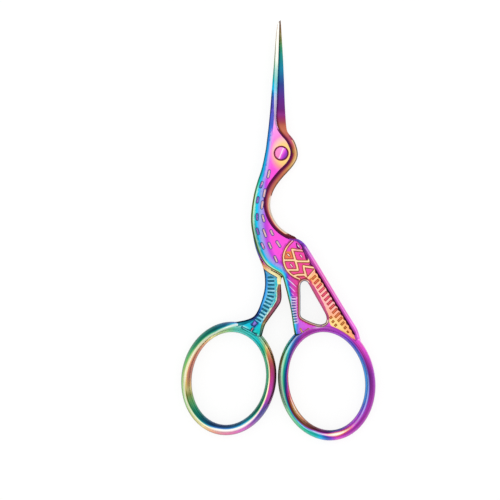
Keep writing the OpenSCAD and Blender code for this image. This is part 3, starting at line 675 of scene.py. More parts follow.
def edges(p, left, right, high):
    """Heights that the bevels along both edges leave, with the distances from the edges."""
    dl, cl, _ = nearest(p, left)
    dr, cr, _ = nearest(p, right)
    return [bevelled(dl, cl, high), bevelled(dr, cr, high)], dict(dl=dl, dr=dr, wr=cr[:, 2])


# Each surface function gives heights, the facet that every point lies on and distances that the colours need
def front_top(p):
    """The front half's outer face: 0 is flat, 1 and 2 are its edges' bevels and 3 is the window's."""
    high = ridge(p[:, 1])
    sides, d = edges(p, front_left, front_right, high)
    dw, cw, _ = nearest(p, window_path, True)
    options = np.stack([high, *sides, bevelled(dw, cw, high)])
    z, foot = share_limit(1, p, options.min(0))
    return z, options.argmin(0), dict(dw=dw, **d, **foot)


FRONT_MARKS = ("dash", "seed", "thigh", "toes_right", "front_cut", "tail_cut", "bar", "recess", "teeth")


def front_relief(p, z, facet, d):
    """Ornament cut into the front half's outer face, with what its colours need."""
    m = marks(p, FRONT_MARKS)
    m["wing"] = inside(p, wing_loop)
    m["rim"] = nearest(p, wing_line)[0]
    cell = np.where(m["wing"], smooth(m["bar"] / 0.12), 0) * 0.24
    cell = np.maximum(cell - 0.2 * smooth((0.04 - m["seed"]) / 0.1), 0)
    cut = deepest(m, ("dash", "thigh", "toes_right", "front_cut", "tail_cut", "recess", "teeth"), cell)
    cut = np.maximum(cut, 0.14 * smooth((0.13 - m["rim"]) / 0.08))
    return z - np.where(facet == 3, 0, cut), m


def blend(value, target, weight):
    """From value at weight 0 to target at 1."""
    return value + (target - value) * np.clip(weight, 0, 1)


def bump(t, middle, reach):
    """1 at an angle, falling to 0 on both sides of it."""
    return smooth(1 - np.abs(t - middle) / reach)


def stripe(at, middle, width):
    """1 on a line, falling away on both sides of it."""
    return np.exp(-((at - middle) / width) ** 2)


class Coat:
    """The colour over a set of points: film, tone and dullness, laid on in layers. The tone holds painted highlights
    and painted shade as well as lighter and darker colours of the film.
    """

    def __init__(self, film, tone, dull=0.0):
        self.film, self.tone, self.dull = film, tone, dull

    def __iter__(self):
        return iter((self.film, self.tone, self.dull))

    def lay(self, where, film=None, tone=None, dull=None):
        """Puts on what is given where a mask holds, or mixes it in by a weight."""
        for name, new in (("film", film), ("tone", tone), ("dull", dull)):
            if new is not None:
                old = getattr(self, name)
                setattr(self, name, np.where(where, new, old) if where.dtype == bool else blend(old, new, where))


def body_hue(p, dl):
    """The film's run across the throat, neck and body, from the left edge, and how pale it is, with a painted shade
    line and a painted highlight line along the left edge.
    """
    k = ramp(p[:, 1], {-26: 1.75, -24.5: 1.6, -22: 1.4, -20: 1.28, -17: 1.07, -13: 1, -10: 1.15, -8: 1.45,
        -6: 1.9, -3: 2.6, 0: 2.9, 3: 3.25, 5: 3.5})
    u = dl * k
    hue = ramp(u, {0.2: 0.3, 0.42: 0.39, 0.6: 0.44, 0.75: 0.462, 1.1: 0.51, 1.45: 0.55, 1.8: 0.6, 2.15: 0.65,
        2.5: 0.72, 2.9: 0.765, 3.3: 0.785, 3.7: 0.81, 4.2: 0.85, 4.6: 0.872})
    high = smooth((p[:, 1] + 7) / 3)
    hue = np.maximum(hue, ramp(p[:, 1], {-8: 0.3, -6: 0.45, -3.5: 0.525, 0: 0.553, 5: 0.59}))
    # pale paints a dark line at the left edge as painted shade and a pale line just inside it as a painted highlight,
    # then lighter and darker bands across the face
    pale = ramp(u, {0.25: -0.5, 0.36: 0.1, 0.46: 0.6, 0.6: 0.5, 0.78: 0.05, 1.05: -0.05, 1.4: 0, 1.75: 0.12,
        2.1: 0.28, 2.4: 0.22, 2.8: 0.12, 3.3: -0.06, 4: -0.08, 4.6: 0})
    pale_high = ramp(u, {0.6: -0.45, 1.3: -0.25, 1.9: 0.1, 2.3: 0.32, 3: 0.3, 3.6: 0.1, 4.2: 0})
    return hue, blend(pale, pale_high, high)


def front_colour(p, facet, d, m):
    """Colours of the front half seen from above."""
    x, y = p[:, 0], p[:, 1]
    dl, dr, dw = d["dl"], d["dr"], d["dw"]
    coat = Coat(*body_hue(p, dl))
    run, run_tone = coat.film, coat.tone
    coat.tone = coat.tone + ramp(y, {-4: 0, 1: 0.1, 4: 0.18, 8: 0.3}) * (coat.film > 0.8)
    # Gold round the screw, which passes through pink into the magenta
    r = np.hypot((x - 0.6) * 1.5, (y + 0.1) * 1.08)
    gold_film = ramp(r, {2.3: 1.135, 2.7: 1.1, 3: 1.06, 3.3: 1, 3.5: 0.975, 3.7: 0.95, 3.9: 0.92, 4.1: 0.905,
        4.4: 0.885, 5: 0.872})
    gold_tone = ramp(r, {2.3: 0.1, 2.8: 0.28, 3.3: 0.42, 3.9: 0.34, 4.4: 0.18, 5: 0.08})
    coat.lay(smooth((4.9 - r) / 0.5), gold_film, gold_tone * ramp(y, {-4: 0.35, -1.5: 0.7, 1: 1}))
    # Front leg
    k = ramp(y, {-38: 1.5, -33: 1.1, -28: 1})
    leg_film = ramp(dl * k, {0.33: 0.47, 0.55: 0.52, 0.75: 0.58, 0.9: 0.68, 1.05: 0.77, 1.25: 0.84, 1.6: 0.885,
        2: 0.895, 2.4: 0.91})
    leg_film = leg_film - ramp(y, {-38: 0.06, -33.5: 0.08, -31: 0}) * (leg_film > 0.8)
    leg_tone = ramp(dl * k, {0.35: 0.2, 0.5: 0, 0.8: -0.15, 1.1: -0.4, 1.7: -0.36, 2.1: -0.28, 2.4: -0.2})
    coat.lay(smooth((-26.2 - y) / 1.8) * (x < 4.6), leg_film, leg_tone)
    coat.lay((y < -36.4) & (x > 3.2), ramp(x, {3.2: 0.78, 5: 0.8, 8: 0.83, 12: 0.83}), 0.05)
    coat.lay((x > 5) & (y < -28) & (y > -37.5), 0.91, -0.35)
    # Tail band, gold at its top and bottom and coral between
    band = inside(p, TAIL_BAND)
    tail_film = ramp(y, {-41: 1.04, -38.5: 1.1, -37: 1.09, -35.5: 1.04, -34: 0.99, -31: 0.985, -29.5: 1.03,
        -28: 1.09, -25: 1.08})
    tail_film = tail_film + 0.05 * smooth((-36.2 - y) / 1) * smooth((12.6 - x + (y + 37) * -0.9) / 0.8)
    coat.lay(band, tail_film, ramp(y, {-41: 0.12, -38: 0.1, -36: 0.2, -34: 0.38, -30: 0.38, -28.5: 0.15}))
    # Wing: pink cells between gold bars, with painted shade outlining the cut cells, round the seeds and in the rim's
    # groove
    wing = m["wing"]
    bar = smooth((0.03 - m["bar"]) / 0.06)
    cell_film = ramp(y, {-28: 0.95, -26: 0.92, -24: 0.925, -22: 0.9, -20: 0.875})
    cell_film = np.where((x < 2.6) & (y > -23.5) & (y < -21.9), 1.02, cell_film)
    bar_film = ramp(y, {-28: 1.08, -25: 1.12, -23: 1.12, -21: 1.08, -20: 0.9})
    bar_film = np.where((x > 3.2) & (y > -22.4), 0.97, bar_film)
    coat.lay(wing, blend(cell_film, bar_film, bar), blend(-0.06, 0.3, bar))
    coat.lay(wing & (m["bar"] > 0) & (m["bar"] < 0.13), 1.05, -0.45)
    coat.lay(wing & (m["seed"] < 0.1), tone=-0.6)
    coat.lay(wing & (m["seed"] < -0.04), tone=0.7)
    coat.lay(m["rim"] < 0.1, 1, -0.7)
    # The recesses are painted near black, a painted shadow
    coat.lay(m["recess"] < 0.05, 0.88, -0.88)
    # The foot, where the casting runs out over the bow and takes the bow's colours, with their painted highlights and
    # painted shade
    ring_film, ring_tone, ring_dull = bow_colour(1, d["turn"], np.clip(d["share"], 0, 1))
    over = smooth((0.98 - d["share"]) / 0.35) * ~band
    coat.lay(over, ring_film, np.maximum(ring_tone, -0.2), ring_dull)
    coat.lay((y < -38) & (x < 4) & (facet == 0), ramp(x, {2.4: 0.47, 3: 0.51, 3.4: 0.58, 3.7: 0.7, 4: 0.78}))
    # Left bevel: throat, belly and front leg
    left_film = ramp(y, {-41: 0.48, -28: 0.47, -26: 0.45, -23: 0.46, -17: 0.45, -12: 0.46, -8: 0.47, -6: 0.48,
        -3.7: 0.5, 0: 0.53, 3: 0.585, 6: 0.64, 9.7: 0.69, 12: 0.65, 14: 0.54, 16.4: 0.49, 18.6: 0.44, 21: 0.3,
        23: 0.25, 26: 0.16, 29: 0.1})
    left_tone = ramp(y, {-41: 0.05, -28: 0.15, -26: 0.1, 3: -0.1, 9: -0.2, 12: -0.25, 15: -0.1, 18: -0.35,
        22: -0.2, 26: 0.1, 29: 0.35})
    in_run = smooth((y + 27) / 1.5) * smooth((7 - y) / 3)
    coat.lay(facet == 1, blend(left_film, run, in_run), blend(left_tone, run_tone, in_run),
        ramp(y, {17: 0, 21: 0.4, 29: 0.8}))
    # Right bevel: the blade's ground face, paled by a painted reflection, the nape, painted near black as painted
    # shade, and the tail, with painted highlight lines near its edge
    ground = {29: 0.2, 24: 0.2, 21: 0.33, 19: 0.46, 16.4: 0.485, 14: 0.52, 12: 0.63, 9.7: 0.72, 7: 0.79, 5: 0.82}
    pale = {29: 0.92, 24: 0.9, 21: 0.85, 18.5: 0.4, 16.4: 0.2, 14.5: 0.18, 13: 0.45, 12: 0.62, 9.7: 0.62, 7: 0.45,
        5: 0.2}
    coat.lay((facet == 2) & (y > 5.5), ramp(y, ground), ramp(y, pale), -0.75)
    # The nape's bevel is painted near black, a painted shade beside the back half
    coat.lay((facet == 2) & (y <= 5.5) & (y > -19.2), 0.88, -0.88)
    rump = (facet == 2) & (y <= -19.2)
    coat.lay(rump, ramp(y, {-41: 0.84, -36: 0.865, -28: 0.885, -24: 0.875, -21.5: 0.8, -19.5: 0.72}))
    # Painted highlight lines near the tail's edge, and darker further in
    painted_highlight_lines = 0.3 * smooth((0.2 - dr) / 0.1) + 0.42 * stripe(dr, 0.42, 0.09)
    rump_tone = ramp(y, {-41: -0.3, -25: -0.25, -22.5: -0.3, -21.5: -0.4, -19.5: -0.6})
    rump_tone = rump_tone * (smooth((dr - 0.42) / 0.15) + smooth((dr - 0.7) / 0.15))
    coat.lay(rump, tone=rump_tone + painted_highlight_lines * (y < -21))
    coat.lay(rump & (y < -21), dull=-0.35)
    # Window rim: painted shade on the face beside it and at the opening's edge, then a greyed gold chamfer with a pale
    # band
    rim = facet == 3
    low = y < -36.4
    coat.lay(rim, np.where(low, 0.2, 0.94))
    coat.lay(rim & (dw < 0.36), 1.08)
    coat.lay(rim & (dw < 0.15), np.where(low, 0.2, 0.5))
    rim_tone = ramp(dw, {0: -0.75, 0.12: -0.7, 0.17: 0.4, 0.33: 0.4, 0.39: -0.6, 0.6: -0.75})
    right = (x > 5) & (y < -28.9) & (y > -37.2) & (x > 0.57 * (-y - 28.6) + 5)
    coat.lay(rim, tone=np.where(right, ramp(dw, {0: -0.6, 0.2: -0.3, 0.5: -0.1}), rim_tone), dull=0.25)
    coat.lay(rim & right, 0.93)
    coat.lay((dw > 0.36) & (dw < 0.6) & (x < 7.6) & ((x < 4.9) | (y < -36)), 0.94, -0.6)
    # Cut ornament: painted shade outlines the cuts and darkens the front ribs' grooves and the serration, and the cuts
    # have pale cores and pale ridges between them
    e = m["dash"]
    first = (x < ramp(y, {-22: -3.7, -19: -4.6, -14: -4.8, -6: -4.2})) & (y < -6)
    coat.lay(e < 0.07, 0.5, -0.78)
    coat.lay(e < -0.05, np.where(first, 0.72, 0.96), np.where(first, 0.0, 0.42), 0.35)
    e = m["tail_cut"]
    pocket_film = ramp(y, {-40: 1.07, -37: 1.07, -35.5: 1.03, -34.5: 0.99, -33: 0.96, -30: 0.955, -28.5: 1,
        -27.5: 1.05})
    pocket = (e < -0.02) & (x > 6.5) & (y < -26.6)
    coat.lay(pocket, pocket_film, ramp(y, {-40: -0.5, -37: -0.35, -35: -0.15, -30: 0.05, -28: -0.25}))
    coat.lay((np.abs(e) < 0.05) & band, tone=np.minimum(coat.tone, -0.12))
    e = m["front_cut"]
    between = (e >= -0.02) & (e < 0.18) & (np.abs(x - 2.95) < 0.75)
    coat.lay(between & (x < 2.7), 0.7)
    coat.lay(between, tone=0.5)
    coat.lay(e < -0.02, tone=-0.3)
    e = m["thigh"]
    coat.lay(e < 0.14, tone=-0.32)
    coat.lay(e < 0.02, np.where(x < 1.9, 0.72, 0.85), 0.62)
    e = m["toes_right"]
    coat.lay(e < 0.06, 1.1)
    coat.lay(e < 0.07, tone=-0.75)
    coat.lay(e < -0.03, tone=0.5)
    e = m["teeth"]
    coat.lay(e < 0.05, 0.93, np.where(dr < 1.32, -0.94, -0.7), 0)
    # Painted shade: a dark line along the left bevel where the edge turns away
    wide = ramp(y, {-41: 0.2, -25: 0.22, -20: 0.34, -10: 0.36, -4: 0.28, 6: 0.2})
    edge = np.where(facet == 1, smooth((wide + 0.08 - dl) / 0.16), 0)
    coat.lay(edge, np.where(y < -9, 0.27, coat.film))
    coat.lay(edge * np.where(y > 14, 0.3, 0.95), tone=-0.82)
    return coat


def deep_side(p, shoulder_path, level_loop, left_edge, right_edge, side, hole=None):
    """Inner side of a half: level with the crossing face, then down the shoulder to the full depth.

    Facets: 0 is the shoulder, 1 to 3 are bevels, 4 is the step, 5 is full depth and 6 is level.
    """
    off, _, along = nearest(p, shoulder_path)
    level = inside(p, level_loop)
    s = np.where(level, -off, off)
    rise = ramp(along, {0: 0.83, 1.7: 0.33, 2.9: 0})
    low = (HALF_T - FALL * SHOULDER_W) * (1 - rise) + EDGE_T * rise
    slope = np.where(s < WALL, 0.05 + (low - 0.05) * s / WALL,
                     low + (HALF_T - low) * (s - WALL) / (SHOULDER_W - WALL))
    slope = np.where(s > SHOULDER_W, HALF_T + 1e-3, slope)
    high = np.full(len(p), HALF_T)
    sides, d = edges(p, left_edge, right_edge, high)
    if hole is not None:
        dh, ch, _ = nearest(p, hole, True)
        sides.append(bevelled(dh, ch, high))
    options = np.stack([slope, *sides])
    facet = options.argmin(0)
    full = (s > SHOULDER_W) & (options.min(0) >= HALF_T - 1e-3)
    facet = np.where(full, 5, np.where((facet == 0) & (s < WALL), 4, facet))
    z, foot = share_limit(side, p, np.minimum(options.min(0), HALF_T))
    return np.where(level, 0, -(z + FACE_GAP)), np.where(level, 6, facet), dict(s=s, **d, **foot)


front_level = np.vstack([[12, 32], [12, -17.4], front_shoulder, [-0.4, -30], [-12, -30], [-12, 32]])
back_level = np.vstack([[12, 32], [-12, 32], [-12, back_shoulder[0][1]], back_shoulder, [12, -30]])


def back_relief(p, z, outward):
    """Ornament of the back half, with its dashes only on the outer face."""
    m = marks(p, ("rear_cut", "toes_left", "cuff") + (("dash",) if outward else ()))
    cut = np.maximum(0.1 * smooth((0.12 - np.abs(m["cuff"])) / 0.08), deepest(m, ("rear_cut", "toes_left")))
    return (z - np.maximum(cut, sunk(m["dash"], 0.2)), m) if outward else (z + cut, m)


def back_colour(p, facet, d, m):
    """Colours of the back half seen from above: its blade, nape, belly, shoulder and rear leg."""
    x, y = p[:, 0], p[:, 1]
    film = ramp(y, {-18.5: 0.97, -16: 0.99, -13: 1.01, -10: 1, -8: 0.99, -5: 1, -3.2: 1.08, -1.5: 1.11, 0.7: 1.08,
        1.6: 0.98, 2.6: 0.93, 3.8: 0.97, 5: 1.02, 6.3: 1.01, 7: 0.965, 8: 0.9, 9: 0.85, 10: 0.79, 12: 0.76,
        14: 0.7, 15: 0.66, 16.4: 0.6, 18: 0.555, 20: 0.51, 22: 0.47, 23.5: 0.4, 25.3: 0.27, 27.5: 0.12,
        29.8: 0.07})
    # Darkest near y -19, as painted shade beside the front half
    tone = ramp(y, {-19: -0.85, -17: -0.6, -15: -0.45, -12: -0.3, -9: -0.4, -6: -0.45, 0: -0.4, 4: -0.3, 5: -0.28,
        6: -0.35, 7: -0.55, 8: -0.68, 9.5: -0.76, 12: -0.7, 14: -0.6, 18: -0.62, 20: -0.6, 22: -0.5, 25: -0.45,
        27.5: -0.65, 29.8: -0.8})
    dull = ramp(y, {-18: 0.2, -10: 0.35, -5: 0.2, 4: 0.25, 8: 0.1, 12: 0.05, 24: 0.1, 28: 0.5})
    coat = Coat(film, tone, dull)
    cover, _, _ = nearest(p, front_right)
    under = inside(p, front_loop) & (y > -19)
    # Painted highlight on the nape's rounded outer rim, and along its very edge a painted pale line low down and a
    # painted dark line higher up
    nape = (y < 3) & (y > -18)
    rise = smooth((0.62 - d["dr"]) / 0.3) * nape
    coat.lay(rise * np.where((y < -3.5) & (y > -10), 0.3, 0.85), 1.13)
    coat.lay(rise, tone=ramp(y, {-18: 0.5, -10: 0.5, -8: -0.1, -4: -0.1, -2: 0.35, 2: 0.4}))
    coat.lay((d["dr"] < 0.22) & nape, tone=np.where(y < -9.5, 0.6, -0.8))
    # Painted shadow of the front half along its right edge, and painted shade where the front half lies over the back
    # half
    shade = smooth((0.55 - cover) / 0.45) * (y > -19)
    coat.lay((shade > 0.3) & (y < 0) & (y > -17), 0.93)
    painted_shade_tone = np.where(under, -0.35 - 0.58 * smooth((0.7 - cover) / 0.5), -0.93)
    coat.lay(np.where(under, 1, shade * 0.95), tone=painted_shade_tone)
    coat.lay(y > -19, dull=coat.dull * (1 - shade))
    # Belly beside the front half
    low = smooth(np.where(inside(p, front_loop), (-17 - y) / 2.5, (-18.8 - y) / 1.5)) * (d["s"] < 0)
    coat.lay(low, ramp(y, {-27: 1.05, -23: 0.95, -18: 0.93}), -0.35)
    belly = (d["s"] < 0) * np.maximum(smooth((1.7 - d["dl"]) / 0.6) * smooth((-14 - y) / 2),
                                      smooth((d["s"] + 1.6) / 0.6))
    coat.lay(belly, ramp(y, {-27: 1.13, -26: 1.12, -25.3: 1.02, -24.3: 0.86, -22: 0.62, -19: 0.55}),
        ramp(y, {-27: 0.3, -25: 0.1, -23: -0.2, -21: -0.3, -18: -0.5}), 0.25)
    # Shoulder, with a painted shade line and a painted highlight band where it meets the leg, and its step painted
    # dark as painted shade
    shoulder = (d["s"] >= 0) & (facet == 0)
    coat.lay(shoulder, ramp(x, {-4.5: 1, -3.9: 1.08, -3.2: 1.13, -2.2: 1.18, 0: 1.18}),
        ramp(x, {-4.5: 0.05, -3.4: 0.15, -2.4: 0.25, -1: 0.2, 0: 0.1}))
    below = shoulder & (d["s"] > 0.7) & (x < -0.89)
    coat.lay(shoulder & ~below, dull=-0.9)
    coat.lay(below, 0.53, np.where(d["s"] < 0.84, -0.85, 0.1))
    coat.lay(facet == 4, 1.1, -0.8)
    # Rear leg: painted shade in the rib grooves, in the cuff's groove and along both bevels' edges, with pale ridges
    # beside the grooves and a pale line beside the right bevel
    face = facet == 5
    leg_film = ramp(x - ramp(y, {-38: -6.5, -34: -4.1, -30: -2.6, -28: -2.6}), {-1.2: 0.57, 0.4: 0.54, 1.2: 0.5})
    coat.lay(face, leg_film, -0.08, 0.1)
    e = m["rear_cut"]
    coat.lay(face & (e < 0.12), 0.52, 0.28)
    coat.lay(face & (e < 0), 0.53, -0.68)
    e = m["cuff"]
    coat.lay(e < 0, 0.7, 0.1)
    coat.lay(np.abs(e) < 0.09, 0.6, -0.75)
    coat.lay(face & (d["dr"] < d["wr"] + 0.16) & (y < -28), 0.34, 0.55)
    left_tone = ramp(y, {-38: -0.55, -36: -0.4, -34: 0.05}) - 0.95 * smooth((0.4 - d["dl"]) / 0.25)
    coat.lay(facet == 1, ramp(y, {-39: 0.64, -36.5: 0.64, -34: 0.57}), left_tone, 0)
    right_film = ramp(y, {-37: 0.98, -36: 0.96, -34: 0.92, -32: 0.94, -30: 1.02, -28: 1.14})
    right_film = np.where(y < -36.2, ramp(y, {-39.8: 1.44, -38.6: 1.3, -37.6: 1.1, -36.2: 0.97}), right_film)
    right_tone = -0.2 - 0.7 * smooth((0.4 - d["dr"]) / 0.2) - 0.5 * smooth((d["dr"] - d["wr"] + 0.2) / 0.1)
    coat.lay(facet == 2, right_film, right_tone, 0.45)
    # The foot over the bow, with the bow's colours and their painted highlights and painted shade, and painted shade
    # round the toes
    foot = (d["s"] > 0) & (y < -37.3) & (facet != 2) & (m["rear_cut"] > 0.1) & (m["cuff"] > 0.1)
    coat.lay(foot, ramp(y, {-42: 0.465, -40: 0.475, -38: 0.51}), dull=0)
    coat.lay(foot & (facet != 1), tone=-0.05)
    ring_film, ring_tone, ring_dull = bow_colour(-1, d["turn"], np.clip(d["share"], 0, 1))
    over = smooth((0.98 - d["share"]) / 0.35) * (y < -36)
    coat.lay(over, ring_film, dull=ring_dull)
    coat.lay(over * (facet != 1), tone=np.maximum(ring_tone, -0.25))
    e = m["toes_left"]
    coat.lay(e < 0.12, tone=-0.88)
    coat.lay(e < -0.01, 1.05, 0.4, 0.4)
    return coat


def back_outer_colour(p, facet, d, m):
    """Colours of the back half's outer face, which lies downwards, in the same run as the front half's."""
    y = p[:, 1]
    coat = Coat(*body_hue(p, d["dl"]))
    coat.lay(facet == 1, ramp(y, {-40: 0.56, -28: 0.55, -20: 0.43, -8: 0.48, 0: 0.56, 6: 0.64, 14: 0.52, 22: 0.3,
        29: 0.1}))
    coat.lay(facet == 2, ramp(y, {-39: 0.42, -36: 0.97, -28: 0.9, -18: 0.84, 0: 0.82, 6: 0.86, 12: 0.7, 18: 0.54,
        24: 0.3, 29: 0.1}))
    coat.lay(facet == 0, blend(coat.film, 0.55, smooth((-26 - y) / 2)))
    # Painted shade in the rib grooves and round the dashes
    coat.lay((facet == 0) & (m["rear_cut"] < -0.02), tone=-0.5)
    e = m["dash"]
    coat.lay(e < 0.07, 0.5, -0.78)
    coat.lay(e < -0.05, 0.96, 0.42)
    return coat


# Colours round each bow: stops of angle: value for the film, tone or place of every part of its band; the tones are
# painted highlights and painted shade
BANDS = {
    -1: dict(
        inner={0: 0.41, 35: 0.4, 55: 0.49, 75: 0.48, 92: 0.46, 105: 0.31, 120: 0.24, 135: 0.12, 150: 0.02,
            180: 0.01, 195: 0.13, 210: 0.3, 225: 0.41, 240: 0.49, 255: 0.58, 270: 0.61, 300: 0.55, 330: 0.43,
            360: 0.41},
        inner_tone={0: -0.4, 30: -0.3, 50: -0.1, 60: 0, 90: 0.08, 120: 0.15, 150: 0.02, 180: -0.1, 210: -0.15,
            225: -0.5, 240: -0.82, 270: -0.92, 300: -0.88, 330: -0.75, 360: -0.5},
        crest_at={0: 0.3, 32: 0.31, 55: 0.6, 75: 0.78, 92: 0.76, 107: 0.46, 120: 0.35, 150: 0.44, 180: 0.62,
            210: 0.72, 240: 0.66, 270: 0.52, 300: 0.5, 330: 0.42, 360: 0.3},
        crest_film={0: 0.22, 35: 0.29, 60: 0.47, 92: 0.5, 107: 0.4, 120: 0.34, 150: 0.22, 210: 0.22, 250: 0.2,
            270: 0.1, 300: -0.08, 330: 0.08, 360: 0.2},
        crest_tone={0: 0.75, 30: 0.65, 45: 0.3, 60: 0.1, 72: 0.05, 88: 0.8, 105: 0.75, 120: 0.65, 150: 0.6,
            180: 0.5, 210: 0.7, 245: 0.7, 270: 0.92, 300: 0.92, 330: 0.72, 360: 0.75},
        outer={0: -0.12, 15: -0.09, 30: 0.01, 40: 0.1, 50: 0.3, 58: 0.46, 75: 0.48, 95: 0.54, 107: 0.55,
            120: 0.48, 150: 0.4, 180: 0.3, 215: 0.3, 228: 0.25, 245: 0.2, 256: 0.1, 265: 0, 275: -0.07,
            300: -0.14, 315: -0.24, 330: -0.34, 345: -0.16, 360: -0.12},
        outer_tone={0: -0.4, 15: -0.35, 30: 0.05, 42: 0.05, 60: 0.4, 78: 0, 95: -0.45, 105: -0.8, 120: -0.8,
            150: -0.55, 165: -0.3, 185: 0, 215: 0.05, 250: 0.05, 270: 0.08, 300: -0.1, 330: -0.3, 345: -0.35,
            360: -0.4},
        dark_at={0: 0.47, 50: 0.45, 190: 0.55, 212: 0.59, 245: 0.5, 360: 0.47},
        dark={5: 0, 20: 0.5, 38: 0.6, 52: 0, 188: 0, 205: 0.85, 228: 0.8, 248: 0.4, 262: 0},
        grey_in={0: 0.2, 45: 0.1, 60: 0, 122: 0.05, 140: 0.45, 185: 0.6, 215: 0.2, 240: 0, 320: 0.1, 360: 0.2},
        grey_out={0: 0.5, 35: 0.45, 58: 0, 150: 0, 180: 0.2, 215: 0.1, 245: 0.4, 270: 0.5, 330: 0.65, 360: 0.5},
        spread={0: 0.12, 40: 0.14, 60: 0.25, 90: 0.2, 120: 0.2, 150: 0.25, 185: 0.28, 208: 0.1, 360: 0.12},
        rim={0: -0.65, 60: -0.6, 80: -0.75, 140: -0.8, 180: -0.65, 360: -0.65}),
    1: dict(
        inner={0: 0.58, 30: 0.63, 45: 0.7, 60: 0.775, 75: 0.795, 90: 0.805, 105: 0.82, 120: 0.84, 135: 0.8,
            150: 0.76, 175: 0.79, 190: 0.97, 205: 1.1, 225: 1.06, 240: 0.98, 252: 0.84, 265: 0.66, 275: 0.66,
            288: 0.77, 305: 0.785, 318: 0.7, 330: 0.6, 345: 0.58, 360: 0.58},
        inner_tone={0: -0.05, 30: 0, 60: -0.1, 80: -0.25, 105: -0.4, 125: -0.3, 150: -0.45, 170: -0.4, 188: -0.5,
            205: -0.45, 220: -0.45, 230: -0.65, 240: -0.88, 270: -0.88, 285: -0.45, 300: -0.1, 330: -0.1,
            360: -0.05},
        crest_at={0: 0.3, 30: 0.27, 60: 0.4, 90: 0.5, 105: 0.6, 120: 0.68, 150: 0.6, 180: 0.64, 210: 0.68,
            228: 0.6, 242: 0.44, 270: 0.4, 300: 0.38, 330: 0.33, 360: 0.3},
        crest_film={0: 0.61, 30: 0.66, 60: 0.8, 105: 0.81, 112: 0.74, 120: 0.64, 130: 0.54, 150: 0.39, 180: 0.37,
            210: 0.45, 228: 0.55, 242: 0.6, 250: 0.7, 256: 0.9, 262: 1.1, 270: 1.2, 280: 1.16, 290: 1, 300: 0.8,
            318: 0.74, 330: 0.64, 345: 0.62, 360: 0.61},
        crest_tone={0: 0.15, 30: 0.05, 60: 0, 82: 0.15, 90: 0.5, 98: 0.15, 108: 0.2, 120: 0.42, 150: 0.35,
            185: 0.35, 210: 0.12, 228: 0.25, 242: 0.5, 256: 0.7, 270: 0.92, 282: 0.75, 292: 0.4, 300: 0.3,
            330: 0.28, 360: 0.22},
        outer={0: 0.79, 30: 0.87, 60: 0.8, 108: 0.81, 114: 0.7, 120: 0.5, 130: 0.42, 142: 0.28, 152: 0.2,
            170: 0.25, 190: 0.3, 210: 0.38, 225: 0.41, 245: 0.48, 254: 0.58, 262: 0.7, 272: 0.88, 282: 0.83,
            300: 0.81, 330: 0.815, 360: 0.79},
        outer_tone={0: -0.4, 30: -0.2, 60: -0.1, 105: 0, 118: -0.3, 135: 0, 152: 0.2, 200: 0.15, 235: -0.1,
            262: -0.15, 280: -0.3, 300: -0.4, 345: -0.45, 360: -0.4},
        dark_at={0: 0.49, 30: 0.44, 60: 0.4, 165: 0.33, 185: 0.42, 210: 0.49, 228: 0.42, 330: 0.52, 360: 0.49},
        dark={0: 0.75, 38: 0.65, 52: 0, 150: 0, 165: 0.6, 180: 0.85, 200: 1, 222: 1, 235: 0.3, 240: 0, 322: 0,
            342: 0.6, 360: 0.85},
        grey_in={0: 0, 115: 0, 130: 0.35, 180: 0.55, 225: 0.6, 250: 0.2, 270: 0.1, 285: 0, 360: 0},
        grey_out={0: 0.05, 130: 0.05, 150: 0.35, 175: 0.2, 210: 0.1, 250: 0, 270: 0.15, 290: 0, 360: 0.05},
        spread={0: 0.14, 60: 0.15, 108: 0.12, 120: 0.6, 140: 0.6, 175: 0.6, 190: 0.4, 212: 0.15, 250: 0.16,
            270: 0.34, 290: 0.25, 360: 0.14},
        rim={0: 0.45, 32: 0.45, 50: -0.4, 120: -0.5, 160: -0.75, 215: -0.75, 235: -0.4, 340: -0.4, 352: 0.3,
            360: 0.45}),
}


def bow_colour(side, t, s):
    """The colour at angle t and share s of a bow's band, 0 inside and 1 outside.

    The band has an inner side, a pale crest painted as a highlight and an outer side, and here and there a dark line
    painted as a reflection, with painted shade at its edges.
    """
    t = t % 360
    (inner, inner_tone, crest_at, crest_film, crest_tone, outer, outer_tone, dark_at, dark, grey_in, grey_out,
     spread, rim) = (ramp(t, stops) for stops in BANDS[side].values())
    first, second = smooth((s - crest_at + spread) / spread), smooth((s - crest_at) / spread)
    coat = Coat(blend(blend(inner, crest_film, first), outer, second),
                blend(inner_tone, outer_tone, smooth((s - crest_at + 0.06) / 0.12)))
    wide = 0.1 + 0.09 * smooth((crest_tone - 0.7) / 0.2)
    # facing is where the band's outer side gets a painted sheen and a satin finish; satin is strongest on pale crests
    if side < 0:
        top = (t + 180) % 360
        wide = wide + (0.05 * bump(t, 165, 80) - 0.04 * bump(top, 180, 45))
        dark_wide, facing, satin = 0.085, 0.35 * bump(top, 180, 65), 0.25 * bump(t, 92, 30)
        coat.lay(smooth((s - 0.84) / 0.08) * bump(t, 88, 34), 0.61)
    else:
        dark_wide, facing, satin = 0.085 + 0.055 * bump(t, 207, 28), bump(t, 180, 65), 0
        coat.lay(smooth((0.16 - s) / 0.08) * bump(t, 165, 40), 0.95 + (t > 165) * 0.05)
    near = stripe(s, crest_at, wide)
    coat.lay(near, tone=crest_tone)
    coat.lay(stripe(s, dark_at, dark_wide) * dark, tone=-0.9)
    if side > 0:
        # A painted highlight line near the right bow's inner edge
        line_at = ramp(t, {180: 0.1, 195: 0.13, 210: 0.19, 225: 0.12})
        coat.lay(stripe(s, line_at, 0.065) * bump(t, 203, 28), tone=0.85)
    # Painted shade at the band's outer and inner edges
    coat.lay(smooth((s - 0.9) / 0.08), tone=rim)
    coat.lay(smooth((0.08 - s) / 0.08), tone=-0.7)
    coat.tone = coat.tone + 0.1 * facing * second * (s < 0.9)
    coat.dull = blend(grey_in, grey_out, second) * (1 - facing) - 0.12 - satin - 0.4 * facing * second
    coat.lay(near, dull=-0.9 * np.clip(crest_tone - 0.1, 0, 1))
    return coat


